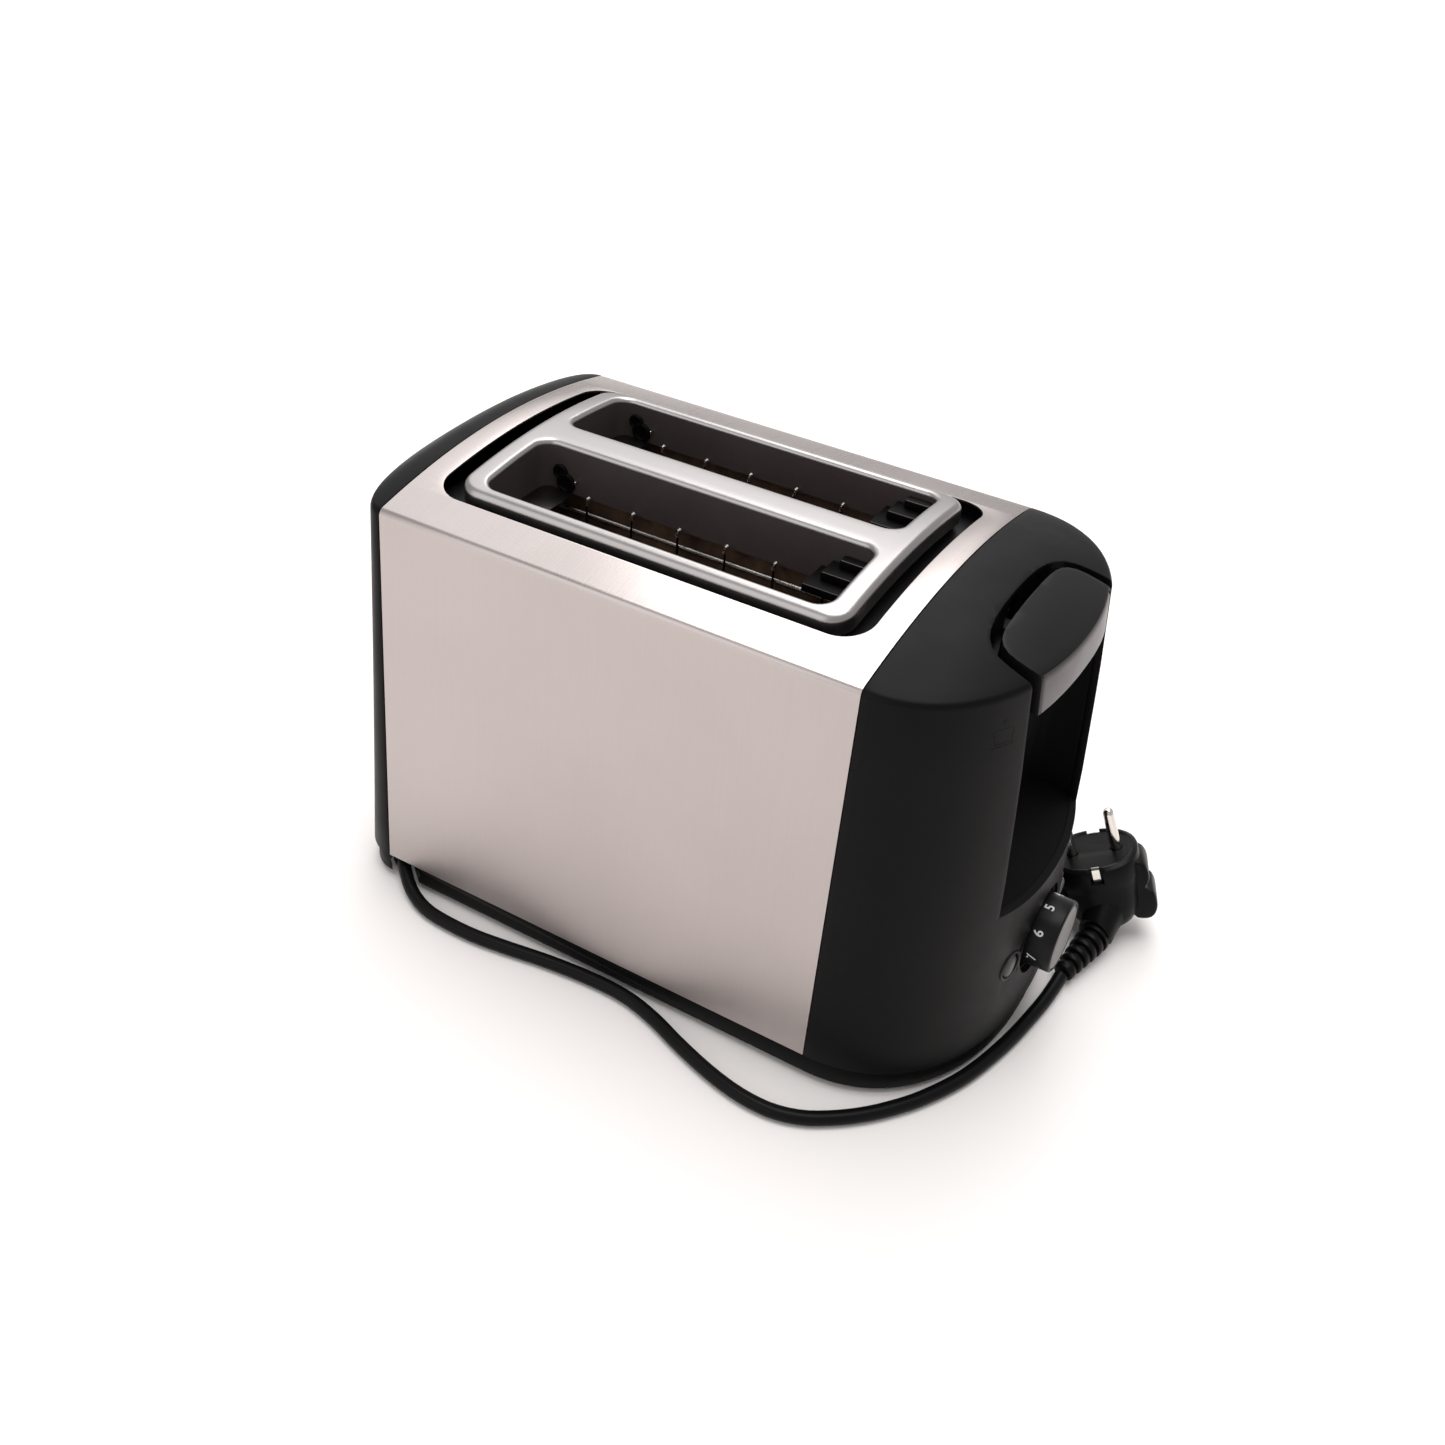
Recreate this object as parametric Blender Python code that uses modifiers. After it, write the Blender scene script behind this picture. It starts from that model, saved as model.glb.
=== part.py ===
"""Two-slot pop-up toaster, as an assembly of separate parts.

Metres, +Z up.  The origin is under the middle of the body, on the surface that the feet stand on.
+X points at the end with the lever and the dial, and the long sides face -Y and +Y.
"""

import math

import bmesh
import bpy
from mathutils import Matrix, Vector

# ---------------------------------------------------------------- driving dimensions
GAP = 0.0003                      # left between pieces that touch

SLEEVE_LENGTH = 0.207             # steel sleeve, along X
SLEEVE_X = -0.0194                # middle of the sleeve
SLEEVE_SHEET = 0.001
SKIRT_TOP = 0.013                 # lower edge of the sleeve and of both end caps
CREASE = 0.185                    # where the sides bend into the roof
ROOF_RISE = 0.0094                # the roof's middle above the crease
HALF_WIDTH_LOW = 0.084            # half of the body's width at the skirt
HALF_WIDTH_TOP = 0.0795           # and at the crease

ROOF_HOLE = (0.0932, 0.0604, 0.013)      # half length, half width, corner radius
FRAME_PLAN = (0.0850, 0.0559, 0.010)     # raised frame around the bread slots
FRAME_RAISE = 0.0027              # frame's top above the sleeve's roof
FRAME_STEPS = ((0.0, 0.0008), (0.0007, 0.0018), (0.0019, 0.0027))    # rounded rim: inset and height
SLOT_PLAN = (0.0750, 0.0080, 0.0503)     # clear bread slot: half length, inner and outer distance
SLOT_MIDDLE = 0.0293              # distance of each slot's middle from the body's middle

CAP_ROUNDNESS = 2.19              # exponent of the end caps' plan curve
CAP_WALL = 0.0025
LEVER_CAP_DEPTH = ((0.013, 0.0604), (0.091, 0.0592), (0.144, 0.0560), (0.185, 0.0522))
REAR_CAP_DEPTH = ((0.013, 0.0310), (0.053, 0.0280), (0.113, 0.0240), (0.185, 0.0200))

RECESS_BACK = 0.1255              # lever recess: its back wall from the sleeve's middle
RECESS_WALL = 0.0022
RAMP_LIP = 0.0792                 # height of the ramp where it meets the outer face
RAMP_RADIUS = 0.020

LEVER_DROP = 0.073                # travel from rest to latched
LEVER_LIFT = 0.009                # extra lift for short slices

DIAL_Z = 0.048
DIAL_RADIUS = 0.0153
DIAL_FRONT = 0.1733               # front face of the dial from the sleeve's middle
DIAL_WELL_RADIUS = 0.0193
BUTTON_Y = 0.0273
BUTTON_RADIUS = 0.0050

FOOT_HEIGHT = 0.003
FLOOR_SHEET = 0.0025
PLATE_X = 0.087                   # inner face of each chassis plate from the sleeve's middle
PLATE_SHEET = 0.0012
DECK_Z = 0.178                    # underside of the black deck below the roof
DECK_TOP = 0.181
CHUTE_SHEET = 0.0007
RACK_Z = 0.103                    # underside of the bread racks at rest

CORD_RADIUS = 0.0030
PIN_RADIUS = 0.0024
PIN_LENGTH = 0.019
PIN_SPACING = 0.019
PLUG_FACE = Vector((0.1427, 0.0759, 0.0352))
PLUG_OUT = Vector((-0.404, 0.0, 0.915))       # the way the pins point
PLUG_ROW = Vector((0.857, 0.352, 0.378))      # from one pin to the other


# ---------------------------------------------------------------- scene and helpers
for old in list(bpy.data.objects):
    bpy.data.objects.remove(old, do_unlink=True)

PARTS = bpy.data.collections.new("toaster")
CUTTERS = bpy.data.collections.new("cutters")
bpy.context.scene.collection.children.link(PARTS)
bpy.context.scene.collection.children.link(CUTTERS)


def material(name, colour, roughness, metallic=0.0):
    mat = bpy.data.materials.new(name)
    mat.use_nodes = True
    shader = mat.node_tree.nodes["Principled BSDF"]
    shader.inputs["Base Color"].default_value = (*colour, 1.0)
    shader.inputs["Roughness"].default_value = roughness
    shader.inputs["Metallic"].default_value = metallic
    return mat


STEEL = material("brushed_steel", (0.62, 0.58, 0.56), 0.34, 1.0)
BRIGHT = material("bright_steel", (0.75, 0.74, 0.73), 0.22, 1.0)
BLACK = material("matte_black", (0.022, 0.021, 0.021), 0.55)
SATIN = material("satin_black", (0.018, 0.018, 0.019), 0.38)
GREY = material("gunmetal", (0.20, 0.19, 0.19), 0.35, 0.6)
SILVER = material("silver_plastic", (0.42, 0.41, 0.40), 0.40, 0.3)
ZINC = material("zinc_sheet", (0.50, 0.49, 0.47), 0.45, 1.0)
WIRE = material("wire", (0.60, 0.58, 0.55), 0.30, 1.0)
MICA = material("mica", (0.30, 0.22, 0.15), 0.60)
RIBBON = material("heater_ribbon", (0.35, 0.30, 0.27), 0.50, 1.0)
BOARD = material("board", (0.10, 0.20, 0.09), 0.50)
COPPER = material("copper", (0.60, 0.30, 0.18), 0.40, 1.0)
PVC = material("black_pvc", (0.012, 0.012, 0.012), 0.35)
NICKEL = material("nickel", (0.72, 0.69, 0.62), 0.18, 1.0)
RUBBER = material("rubber", (0.03, 0.03, 0.03), 0.80)
WHITE = material("white_plastic", (0.70, 0.69, 0.66), 0.45)


def add(name, mesh, mat, cutter=False):
    """Put a mesh in the scene as a part, or as a cutter that is left out of the model."""
    obj = bpy.data.objects.new(name, mesh)
    if cutter:
        CUTTERS.objects.link(obj)
        obj.hide_render = True
        obj.display_type = "WIRE"
    else:
        PARTS.objects.link(obj)
        mesh.materials.append(mat)
    return obj


def mesh_from(bm, name, smooth=False):
    bmesh.ops.recalc_face_normals(bm, faces=bm.faces)
    mesh = bpy.data.meshes.new(name)
    bm.to_mesh(mesh)
    bm.free()
    if smooth:
        mesh.shade_smooth()
        mesh.set_sharp_from_angle(angle=math.radians(35))
    return mesh


def add_box(bm, low, high):
    """A box from its lowest and highest corners, with X measured from the sleeve's middle."""
    size = [b - a for a, b in zip(low, high)]
    middle = [(a + b) / 2 for a, b in zip(low, high)]
    place = Matrix.Translation((middle[0] + SLEEVE_X, middle[1], middle[2]))
    bmesh.ops.create_cube(bm, size=1.0, matrix=place @ Matrix.Diagonal((*size, 1.0)))


def boxes(name, mat, *corners, cutter=False):
    bm = bmesh.new()
    for low, high in corners:
        add_box(bm, low, high)
    return add(name, mesh_from(bm, name), mat, cutter)


def add_rod(bm, start, end, radius, end_radius=None, segments=24):
    """A round bar or cone between two points, with X measured from the sleeve's middle."""
    start = Vector(start) + Vector((SLEEVE_X, 0, 0))
    end = Vector(end) + Vector((SLEEVE_X, 0, 0))
    along = end - start
    turn = along.to_track_quat("Z", "Y").to_matrix().to_4x4()
    place = Matrix.Translation((start + end) / 2) @ turn
    top = radius if end_radius is None else end_radius
    bmesh.ops.create_cone(bm, cap_ends=True, segments=segments, radius1=radius, radius2=top,
                          depth=along.length, matrix=place)


def rods(name, mat, *bars, segments=24, cutter=False):
    bm = bmesh.new()
    for start, end, radius in bars:
        add_rod(bm, start, end, radius, segments=segments)
    return add(name, mesh_from(bm, name, smooth=True), mat, cutter)


def turned(name, mat, profile, base, axis, segments=32, cutter=False):
    """Turn (radius, height) pairs, listed from top to bottom, about an axis through base."""
    bm = bmesh.new()
    points = [bm.verts.new((radius, 0, height)) for radius, height in profile]
    for a, b in zip(points, points[1:]):
        bm.edges.new((a, b))
    obj = add(name, bpy.data.meshes.new(name), mat, cutter)
    bm.to_mesh(obj.data)
    bm.free()
    screw = obj.modifiers.new("turn", "SCREW")
    screw.angle = math.tau
    screw.steps = segments
    screw.render_steps = segments
    screw.use_merge_vertices = True
    screw.merge_threshold = 0.00001
    screw.use_smooth_shade = True
    turn = Vector(axis).to_track_quat("Z", "Y").to_matrix().to_4x4()
    place = Vector(base) + Vector((SLEEVE_X, 0, 0))
    obj.matrix_world = Matrix.Translation(place) @ turn
    return obj


def flat(name, mat, outlines, low, high, plane="XY", cutter=False):
    """Outlines of 2D points, the first one with the others as holes, as a plate between two
    heights across the plane.  Planes are named by the outline's two axes."""
    curve = bpy.data.curves.new(name, "CURVE")
    curve.dimensions = "2D"
    curve.fill_mode = "BOTH"
    curve.extrude = (high - low) / 2
    for outline in outlines:
        spline = curve.splines.new("POLY")
        spline.points.add(len(outline) - 1)
        spline.use_cyclic_u = True
        for point, (u, v) in zip(spline.points, outline):
            point.co = (u, v, 0, 1)
    turn = {
        "XY": Matrix.Identity(4),
        "YZ": Matrix(((0, 0, 1, 0), (1, 0, 0, 0), (0, 1, 0, 0), (0, 0, 0, 1))),
        "XZ": Matrix(((1, 0, 0, 0), (0, 0, -1, 0), (0, 1, 0, 0), (0, 0, 0, 1))),
    }[plane]
    middle = (low + high) / 2
    across = {
        "XY": Vector((SLEEVE_X, 0, middle)),
        "YZ": Vector((SLEEVE_X + middle, 0, 0)),
        "XZ": Vector((SLEEVE_X, middle, 0)),
    }[plane]
    guide = bpy.data.objects.new(name + "_curve", curve)
    CUTTERS.objects.link(guide)
    guide.matrix_world = Matrix.Translation(across) @ turn
    bpy.context.view_layer.update()
    mesh = bpy.data.meshes.new_from_object(guide.evaluated_get(bpy.context.evaluated_depsgraph_get()))
    mesh.transform(guide.matrix_world)
    bpy.data.objects.remove(guide)
    bm = bmesh.new()
    bm.from_mesh(mesh)
    bmesh.ops.remove_doubles(bm, verts=bm.verts, dist=0.00001)
    bpy.data.meshes.remove(mesh)
    return add(name, mesh_from(bm, name), mat, cutter)


def tube(name, mat, points, radius, sides=2, cutter=False):
    """A round wire or cord through world points."""
    curve = bpy.data.curves.new(name, "CURVE")
    curve.dimensions = "3D"
    curve.bevel_depth = radius
    curve.bevel_resolution = sides
    curve.use_fill_caps = True
    spline = curve.splines.new("POLY")
    spline.points.add(len(points) - 1)
    for point, place in zip(spline.points, points):
        point.co = (*place, 1)
    obj = bpy.data.objects.new(name, curve)
    (CUTTERS if cutter else PARTS).objects.link(obj)
    curve.materials.append(mat)
    return obj


def shape(obj, operation, *others):
    """Cut, join or intersect an object with others, which are cutters from then on."""
    for other in others:
        if other.name in PARTS.objects:
            PARTS.objects.unlink(other)
            CUTTERS.objects.link(other)
        other.hide_render = True
        other.display_type = "WIRE"
        modifier = obj.modifiers.new(other.name, "BOOLEAN")
        modifier.operation = operation
        modifier.solver = "EXACT"
        modifier.object = other
    return obj


def rounded(x0, x1, y0, y1, radius, steps=5):
    """A rectangle with round corners."""
    points = []
    corners = ((x1 - radius, y1 - radius, 0), (x0 + radius, y1 - radius, 90),
               (x0 + radius, y0 + radius, 180), (x1 - radius, y0 + radius, 270))
    for cx, cy, start in corners:
        for step in range(steps + 1):
            angle = math.radians(start + 90 * step / steps)
            points.append((cx + radius * math.cos(angle), cy + radius * math.sin(angle)))
    return points


def roof(y):
    """Height of the arched roof above a line at y."""
    return CREASE + ROOF_RISE * (1 - (y / HALF_WIDTH_TOP) ** 2)


def arch(half, raised, steps=12):
    """Points along the roof from +half to -half, raised above it."""
    return [(y, roof(y) + raised) for y in (half - 2 * half * i / steps for i in range(steps + 1))]


def half_width(z):
    part = (z - SKIRT_TOP) / (CREASE - SKIRT_TOP)
    return HALF_WIDTH_LOW + (HALF_WIDTH_TOP - HALF_WIDTH_LOW) * part


def follow(table, z):
    """Linear interpolation in a table of (height, value) pairs."""
    if z <= table[0][0]:
        return table[0][1]
    for (z0, v0), (z1, v1) in zip(table, table[1:]):
        if z <= z1:
            return v0 + (v1 - v0) * (z - z0) / (z1 - z0)
    return table[-1][1]


def cap_ring(side, depth, half, behind=0.0, steps=26):
    """Plan curve of an end cap, starting and ending on the plane where the sleeve ends."""
    start = side * SLEEVE_LENGTH / 2
    power = 2 / CAP_ROUNDNESS
    ring = []
    if behind:
        ring.append((start - side * behind, -half))
    for step in range(steps + 1):
        angle = -math.pi / 2 + math.pi * step / steps
        out = depth * max(math.cos(angle), 0.0) ** power
        over = math.copysign(half * abs(math.sin(angle)) ** power, angle)
        ring.append((start + side * out, over))
    if behind:
        ring.append((start - side * behind, half))
    return ring


def cap_solid(name, side, table, inset=0.0, behind=0.0, low=SKIRT_TOP, levels=5, steps=26,
              cutter=True):
    """The full outer shape of an end cap, shrunk by inset, from the height low upwards."""
    bm = bmesh.new()
    heights = [low + (CREASE - low) * i / levels for i in range(levels + 1)]
    rings = []
    for z in heights:
        ring = cap_ring(side, follow(table, z) - inset, half_width(z) - inset, behind, steps)
        rings.append([(x + SLEEVE_X, y, z if z < CREASE else z - inset) for x, y in ring])
    for scale in (0.85, 0.65, 0.45, 0.25, 0.08):
        depth = (table[-1][1] - inset) * scale
        ring = cap_ring(side, depth, (HALF_WIDTH_TOP - inset) * scale, behind, steps)
        height = CREASE - inset + ROOF_RISE * (1 - scale ** 2)
        rings.append([(x + SLEEVE_X, y, height) for x, y in ring])
    grid = [[bm.verts.new(point) for point in ring] for ring in rings]
    for lower, upper in zip(grid, grid[1:]):
        for i in range(len(lower)):
            j = (i + 1) % len(lower)
            bm.faces.new((lower[i], lower[j], upper[j], upper[i]))
    bm.faces.new(reversed(grid[0]))
    bm.faces.new(grid[-1])
    return add(name, mesh_from(bm, name, smooth=True), BLACK, cutter)


def body_outline(inset, z=SKIRT_TOP):
    """Plan outline of the whole body at the skirt, shrunk by inset."""
    half = half_width(z) - inset
    front = cap_ring(1, follow(LEVER_CAP_DEPTH, z) - inset, half, steps=24)
    back = cap_ring(-1, follow(REAR_CAP_DEPTH, z) - inset, half, steps=24)
    return front + back[::-1]


# ---------------------------------------------------------------- housing
def outer_sleeve():
    """One steel sheet bent over the body: two leaning sides and an arched roof."""
    bend = 0.003
    outer = [(HALF_WIDTH_LOW, SKIRT_TOP), (HALF_WIDTH_TOP + 0.0001, CREASE - bend)]
    outer += arch(HALF_WIDTH_TOP - bend, 0.0)
    outer += [(-HALF_WIDTH_TOP - 0.0001, CREASE - bend), (-HALF_WIDTH_LOW, SKIRT_TOP)]
    inner = [(y - math.copysign(SLEEVE_SHEET, y), z) for y, z in (outer[0], outer[1])]
    inner += arch(HALF_WIDTH_TOP - bend - SLEEVE_SHEET, -SLEEVE_SHEET)
    inner += [(y - math.copysign(SLEEVE_SHEET, y), z) for y, z in (outer[-2], outer[-1])]
    half = SLEEVE_LENGTH / 2 - GAP / 2
    sleeve = flat("outer_sleeve", STEEL, [outer + inner[::-1]], -half, half, "YZ")
    long_half, wide_half, radius = ROOF_HOLE
    hole = flat("roof_hole", STEEL, [rounded(-long_half, long_half, -wide_half, wide_half, radius)],
                0.183, 0.205, cutter=True)
    return shape(sleeve, "DIFFERENCE", hole)


def slot_frame():
    """Bright pressed frame that stands above the roof, with a rounded rim and two bread slots."""
    long_half, wide_half, radius = FRAME_PLAN
    sheet = 0.001
    low = DECK_TOP + GAP
    tiers = []
    for number, (inset, raised) in enumerate(FRAME_STEPS):
        outline = arch(wide_half + 0.002, raised) + [(-wide_half - 0.002, low), (wide_half + 0.002, low)]
        tier = flat(f"frame_tier_{number}", BRIGHT, [outline], -0.09, 0.09, "YZ", cutter=number > 0)
        long_side, wide_side = long_half - inset, wide_half - inset
        plan = flat(f"frame_plan_{number}", BRIGHT,
                    [rounded(-long_side, long_side, -wide_side, wide_side, radius - inset)],
                    0.17, 0.21, cutter=True)
        tiers.append(shape(tier, "INTERSECT", plan))
    frame = shape(tiers[0], "UNION", *tiers[1:])
    frame.name = "slot_frame"
    inner_long, inner_wide = long_half - 0.0034, wide_half - 0.0034
    hollow = flat("frame_hollow", BRIGHT,
                  [arch(inner_wide, FRAME_RAISE - sheet) + [(-inner_wide, 0.17), (inner_wide, 0.17)]],
                  -inner_long, inner_long, "YZ", cutter=True)
    shape(frame, "DIFFERENCE", hollow)
    for side in (-1, 1):
        slot_long, near, far = SLOT_PLAN
        y0, y1 = sorted((side * near, side * far))
        hole = flat(f"bread_hole_{side}", BRIGHT,
                    [rounded(-slot_long, slot_long, y0, y1, 0.0065)], 0.17, 0.21, cutter=True)
        shape(frame, "DIFFERENCE", hole)
    return frame


def slot_deck():
    """Black plate under the roof that carries the frame and closes the dark gap around it."""
    slot_long, near, far = SLOT_PLAN
    room = CHUTE_SHEET + 0.0007
    windows = [rounded(-slot_long - room, slot_long + room, *sorted((side * (near - room), side * (far + room))),
                       0.005, 3) for side in (-1, 1)]
    return flat("slot_deck", BLACK, [rounded(-0.0975, 0.0975, -0.067, 0.067, 0.01, 3)] + windows,
                DECK_Z, DECK_TOP)


def slot_chutes():
    """Sheet metal collars that guide a slice from the frame down to the guards."""
    made = []
    slot_long, near, far = SLOT_PLAN
    for name, side in (("front", -1), ("back", 1)):
        y0, y1 = sorted((side * near, side * far))
        sheet = CHUTE_SHEET
        made.append(flat(f"slot_chute_{name}", ZINC,
                         [rounded(-slot_long - sheet, slot_long + sheet, y0 - sheet, y1 + sheet, 0.0052, 3),
                          rounded(-slot_long, slot_long, y0, y1, 0.0045, 3)],
                         0.1752, 0.1892))
    return made


def recess_plan(grow):
    """Plan of the lever recess: a flat back with round corners, flaring a little outwards."""
    side = [(0.0010, 0.0), (0.0012, 0.018), (0.0033, 0.0312), (0.0060, 0.0360), (0.0105, 0.0392),
            (0.0165, 0.0406), (0.0220, 0.0420), (0.0600, 0.0430)]
    points = [(RECESS_BACK + x - grow, y + (grow if y else 0)) for x, y in side[1:]]
    middle = (RECESS_BACK - grow, 0.0)
    return [(x, -y) for x, y in reversed(points)] + [middle] + points


def recess_side(grow):
    """Side view of the recess: a straight back, then a hollow ramp out to the face."""
    top = 0.206
    sweep = [180 + 70 * i / 6 for i in range(7)]
    radius = RAMP_RADIUS + grow
    out = RECESS_BACK + RAMP_RADIUS
    slope = math.tan(math.radians(250 - 270))
    end = out + radius * math.cos(math.radians(250))
    reach = SLEEVE_LENGTH / 2 + LEVER_CAP_DEPTH[0][1] - end
    base = RAMP_LIP - slope * reach + RAMP_RADIUS * math.sin(math.radians(70))
    points = [(out + radius * math.cos(math.radians(a)), base + radius * math.sin(math.radians(a)))
              for a in sweep]
    last = points[-1]
    points.append((last[0] + 0.06, last[1] + slope * 0.06))
    return [(RECESS_BACK - grow, top)] + points + [(last[0] + 0.06, top)]


def recess_block(name, grow):
    block = flat(name, BLACK, [recess_side(grow)], -0.06, 0.06, "XZ", cutter=True)
    plan = flat(name + "_plan", BLACK, [recess_plan(grow)], 0.05, 0.22, cutter=True)
    return shape(block, "INTERSECT", plan)


def lever_end_cap():
    """Black shell with the lever recess let into it, the dial's well and two button holes."""
    half = SLEEVE_LENGTH / 2
    cap = cap_solid("lever_end_cap", 1, LEVER_CAP_DEPTH, cutter=False)
    cap.data.transform(Matrix.Translation((GAP, 0, 0)))
    hollow = cap_solid("lever_cap_hollow", 1, LEVER_CAP_DEPTH, inset=CAP_WALL, behind=0.004,
                       low=SKIRT_TOP - 0.004)
    liner = recess_block("recess_liner", RECESS_WALL)
    shape(liner, "INTERSECT", cap_solid("liner_limit", 1, LEVER_CAP_DEPTH, inset=0.0012))
    well = rods("dial_well_liner", BLACK, ((half + 0.0520, 0, DIAL_Z), (half + 0.0595, 0, DIAL_Z),
                                           DIAL_WELL_RADIUS + 0.0022), segments=40, cutter=True)
    shape(cap, "DIFFERENCE", hollow)
    shape(cap, "UNION", liner, well)
    recess = recess_block("recess_cut", 0.0)
    arm_slot = boxes("arm_slot", BLACK, ((0.118, -0.0045, 0.096), (0.131, 0.0045, 0.1878)), cutter=True)
    dial = rods("dial_well", BLACK, ((half + 0.0542, 0, DIAL_Z), (half + 0.08, 0, DIAL_Z),
                                     DIAL_WELL_RADIUS), segments=40, cutter=True)
    holes = rods("face_holes", BLACK,
                 ((half + 0.045, 0, DIAL_Z), (half + 0.07, 0, DIAL_Z), 0.0045),
                 *(((half + 0.045, side * BUTTON_Y, DIAL_Z), (half + 0.08, side * BUTTON_Y, DIAL_Z),
                    BUTTON_RADIUS + 0.0004) for side in (-1, 1)), cutter=True)
    return shape(cap, "DIFFERENCE", recess, arm_slot, dial, holes)


def rear_end_cap():
    cap = cap_solid("rear_end_cap", -1, REAR_CAP_DEPTH, cutter=False)
    cap.data.transform(Matrix.Translation((-GAP, 0, 0)))
    hollow = cap_solid("rear_cap_hollow", -1, REAR_CAP_DEPTH, inset=CAP_WALL, behind=0.004,
                       low=SKIRT_TOP - 0.004)
    return shape(cap, "DIFFERENCE", hollow)


FOOT_Y = 0.062
CORNERS = [(x, side) for x in (-0.088, 0.112) for side in (-1, 1)]
SCREW_X = (-0.1080, 0.1300)
SCREW_Y = (0.0600, 0.0450)
SCREW_HOLE = 0.0033
CORD_EXIT = Vector((-0.0995, -0.0795, 0.0080))    # X from the sleeve's middle, as elsewhere
CORD_OUT = Vector((0.76, -0.65, -0.05)).normalized()


def base():
    """Floor pan with a skirt, open at the rear for the crumb tray and notched for the cord."""
    pan = flat("base", BLACK, [body_outline(0.0015)], FOOT_HEIGHT, SKIRT_TOP - GAP)
    pocket = flat("base_pocket", BLACK, [body_outline(0.0045)], FOOT_HEIGHT + FLOOR_SHEET, 0.03,
                  cutter=True)
    doorway = boxes("tray_doorway", BLACK, ((-0.16, -0.0560, FOOT_HEIGHT + FLOOR_SHEET - GAP),
                                            (-0.10, 0.0560, 0.03)), cutter=True)
    start = CORD_EXIT - CORD_OUT * 0.026
    notch = rods("cord_notch", BLACK, (start, CORD_EXIT + CORD_OUT * 0.03, 0.0053), segments=20,
                 cutter=True)
    places = [(SCREW_X[x > 0], side * SCREW_Y[x > 0]) for x, side in CORNERS]
    holes = rods("screw_holes", BLACK, *(((x, y, 0), (x, y, 0.01), SCREW_HOLE) for x, y in places),
                 segments=16, cutter=True)
    below = boxes("cord_notch_low", BLACK, ((0.001, -0.0048, -0.012), (0.055, 0.0048, 0.001)), cutter=True)
    turn = CORD_OUT.to_track_quat("X", "Z").to_matrix().to_4x4()
    shift = Vector((SLEEVE_X, 0, 0))
    below.data.transform(Matrix.Translation(-shift))
    below.data.transform(Matrix.Translation(start + shift) @ turn)
    return shape(pan, "DIFFERENCE", pocket, doorway, holes, notch, below)


def feet_and_screws():
    """Four rubber feet, and the four screws that hold the base to the end caps."""
    for number, (x, side) in enumerate(CORNERS, 1):
        y = side * FOOT_Y
        rods(f"foot_{number}", RUBBER, ((x, y, 0), (x, y, FOOT_HEIGHT - GAP), 0.0070), segments=20)
        x, y = SCREW_X[x > 0], side * SCREW_Y[x > 0]
        turned(f"base_screw_{number}", NICKEL,
               [(0.0, 0.0065), (0.0015, 0.0055), (0.0015, 0.0018), (0.0028, 0.0018), (0.0030, 0.0005),
                (0.0022, 0.0), (0.0, 0.0)], (x, y, FOOT_HEIGHT + 0.0004), (0, 0, 1), segments=16)


def crumb_tray():
    """Shallow tray under the slots, with a grip that fills the doorway at the rear."""
    low = FOOT_HEIGHT + FLOOR_SHEET + GAP
    tray = boxes("crumb_tray", ZINC, ((-0.1180, -0.0540, low), (0.0820, 0.0540, 0.0100)))
    hollow = boxes("tray_hollow", ZINC, ((-0.1150, -0.0530, low + 0.001), (0.0810, 0.0530, 0.02)),
                   cutter=True)
    return shape(tray, "DIFFERENCE", hollow)


def tray_grip():
    low = FOOT_HEIGHT + FLOOR_SHEET + GAP
    grip = flat("tray_grip", BLACK, [body_outline(0.0010)], low, SKIRT_TOP - 2 * GAP)
    limit = boxes("grip_limit", BLACK, ((-0.16, -0.0555, 0), (-0.1183, 0.0555, 0.02)), cutter=True)
    return shape(grip, "INTERSECT", limit)


# ---------------------------------------------------------------- chassis and heating
def chassis_plates():
    """Upright sheets at both ends of the slots, slotted for the bread racks."""
    made = []
    for name, side in (("lever", 1), ("rear", -1)):
        low = side * PLATE_X
        low, high = sorted((low, low + side * PLATE_SHEET))
        outline = [(-0.070, SKIRT_TOP), (0.070, SKIRT_TOP), (0.070, DECK_Z - GAP), (-0.070, DECK_Z - GAP)]
        slots = [rounded(y - 0.0030, y + 0.0030, RACK_Z - LEVER_DROP - 0.004, RACK_Z + LEVER_LIFT + 0.008,
                         0.0028, 3) for y in (-SLOT_MIDDLE, SLOT_MIDDLE)]
        rounds = [rounded(y - 0.0045, y + 0.0045, 0.1590, 0.1680, 0.0044, 4)
                  for y in (-SLOT_MIDDLE, SLOT_MIDDLE)]
        made.append(flat(f"chassis_plate_{name}", ZINC, [outline] + slots + rounds, low, high, "YZ"))
    return made


def heat_shields():
    long_half = PLATE_X - GAP
    return [boxes(f"heat_shield_{name}", ZINC,
                  ((-long_half, min(side * 0.0660, side * 0.0668), SKIRT_TOP),
                   (long_half, max(side * 0.0660, side * 0.0668), 0.1760)))
            for name, side in (("front", -1), ("back", 1))]


def strip_outline(path, width):
    """Both edges of a strip that follows a path of points with square corners."""
    left, right = [], []
    for i, (x, y) in enumerate(path):
        before = path[i - 1] if i else None
        after = path[i + 1] if i + 1 < len(path) else None
        runs = [(b[0] - a[0], b[1] - a[1]) for a, b in ((before, (x, y)), ((x, y), after)) if a and b]
        shift_x = shift_y = 0.0
        for u, v in runs:
            length = math.hypot(u, v)
            if abs(u) > abs(v):
                shift_y = width / 2 * u / length
            else:
                shift_x = -width / 2 * v / length
        left.append((x + shift_x, y + shift_y))
        right.append((x - shift_x, y - shift_y))
    return left + right[::-1]


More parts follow.
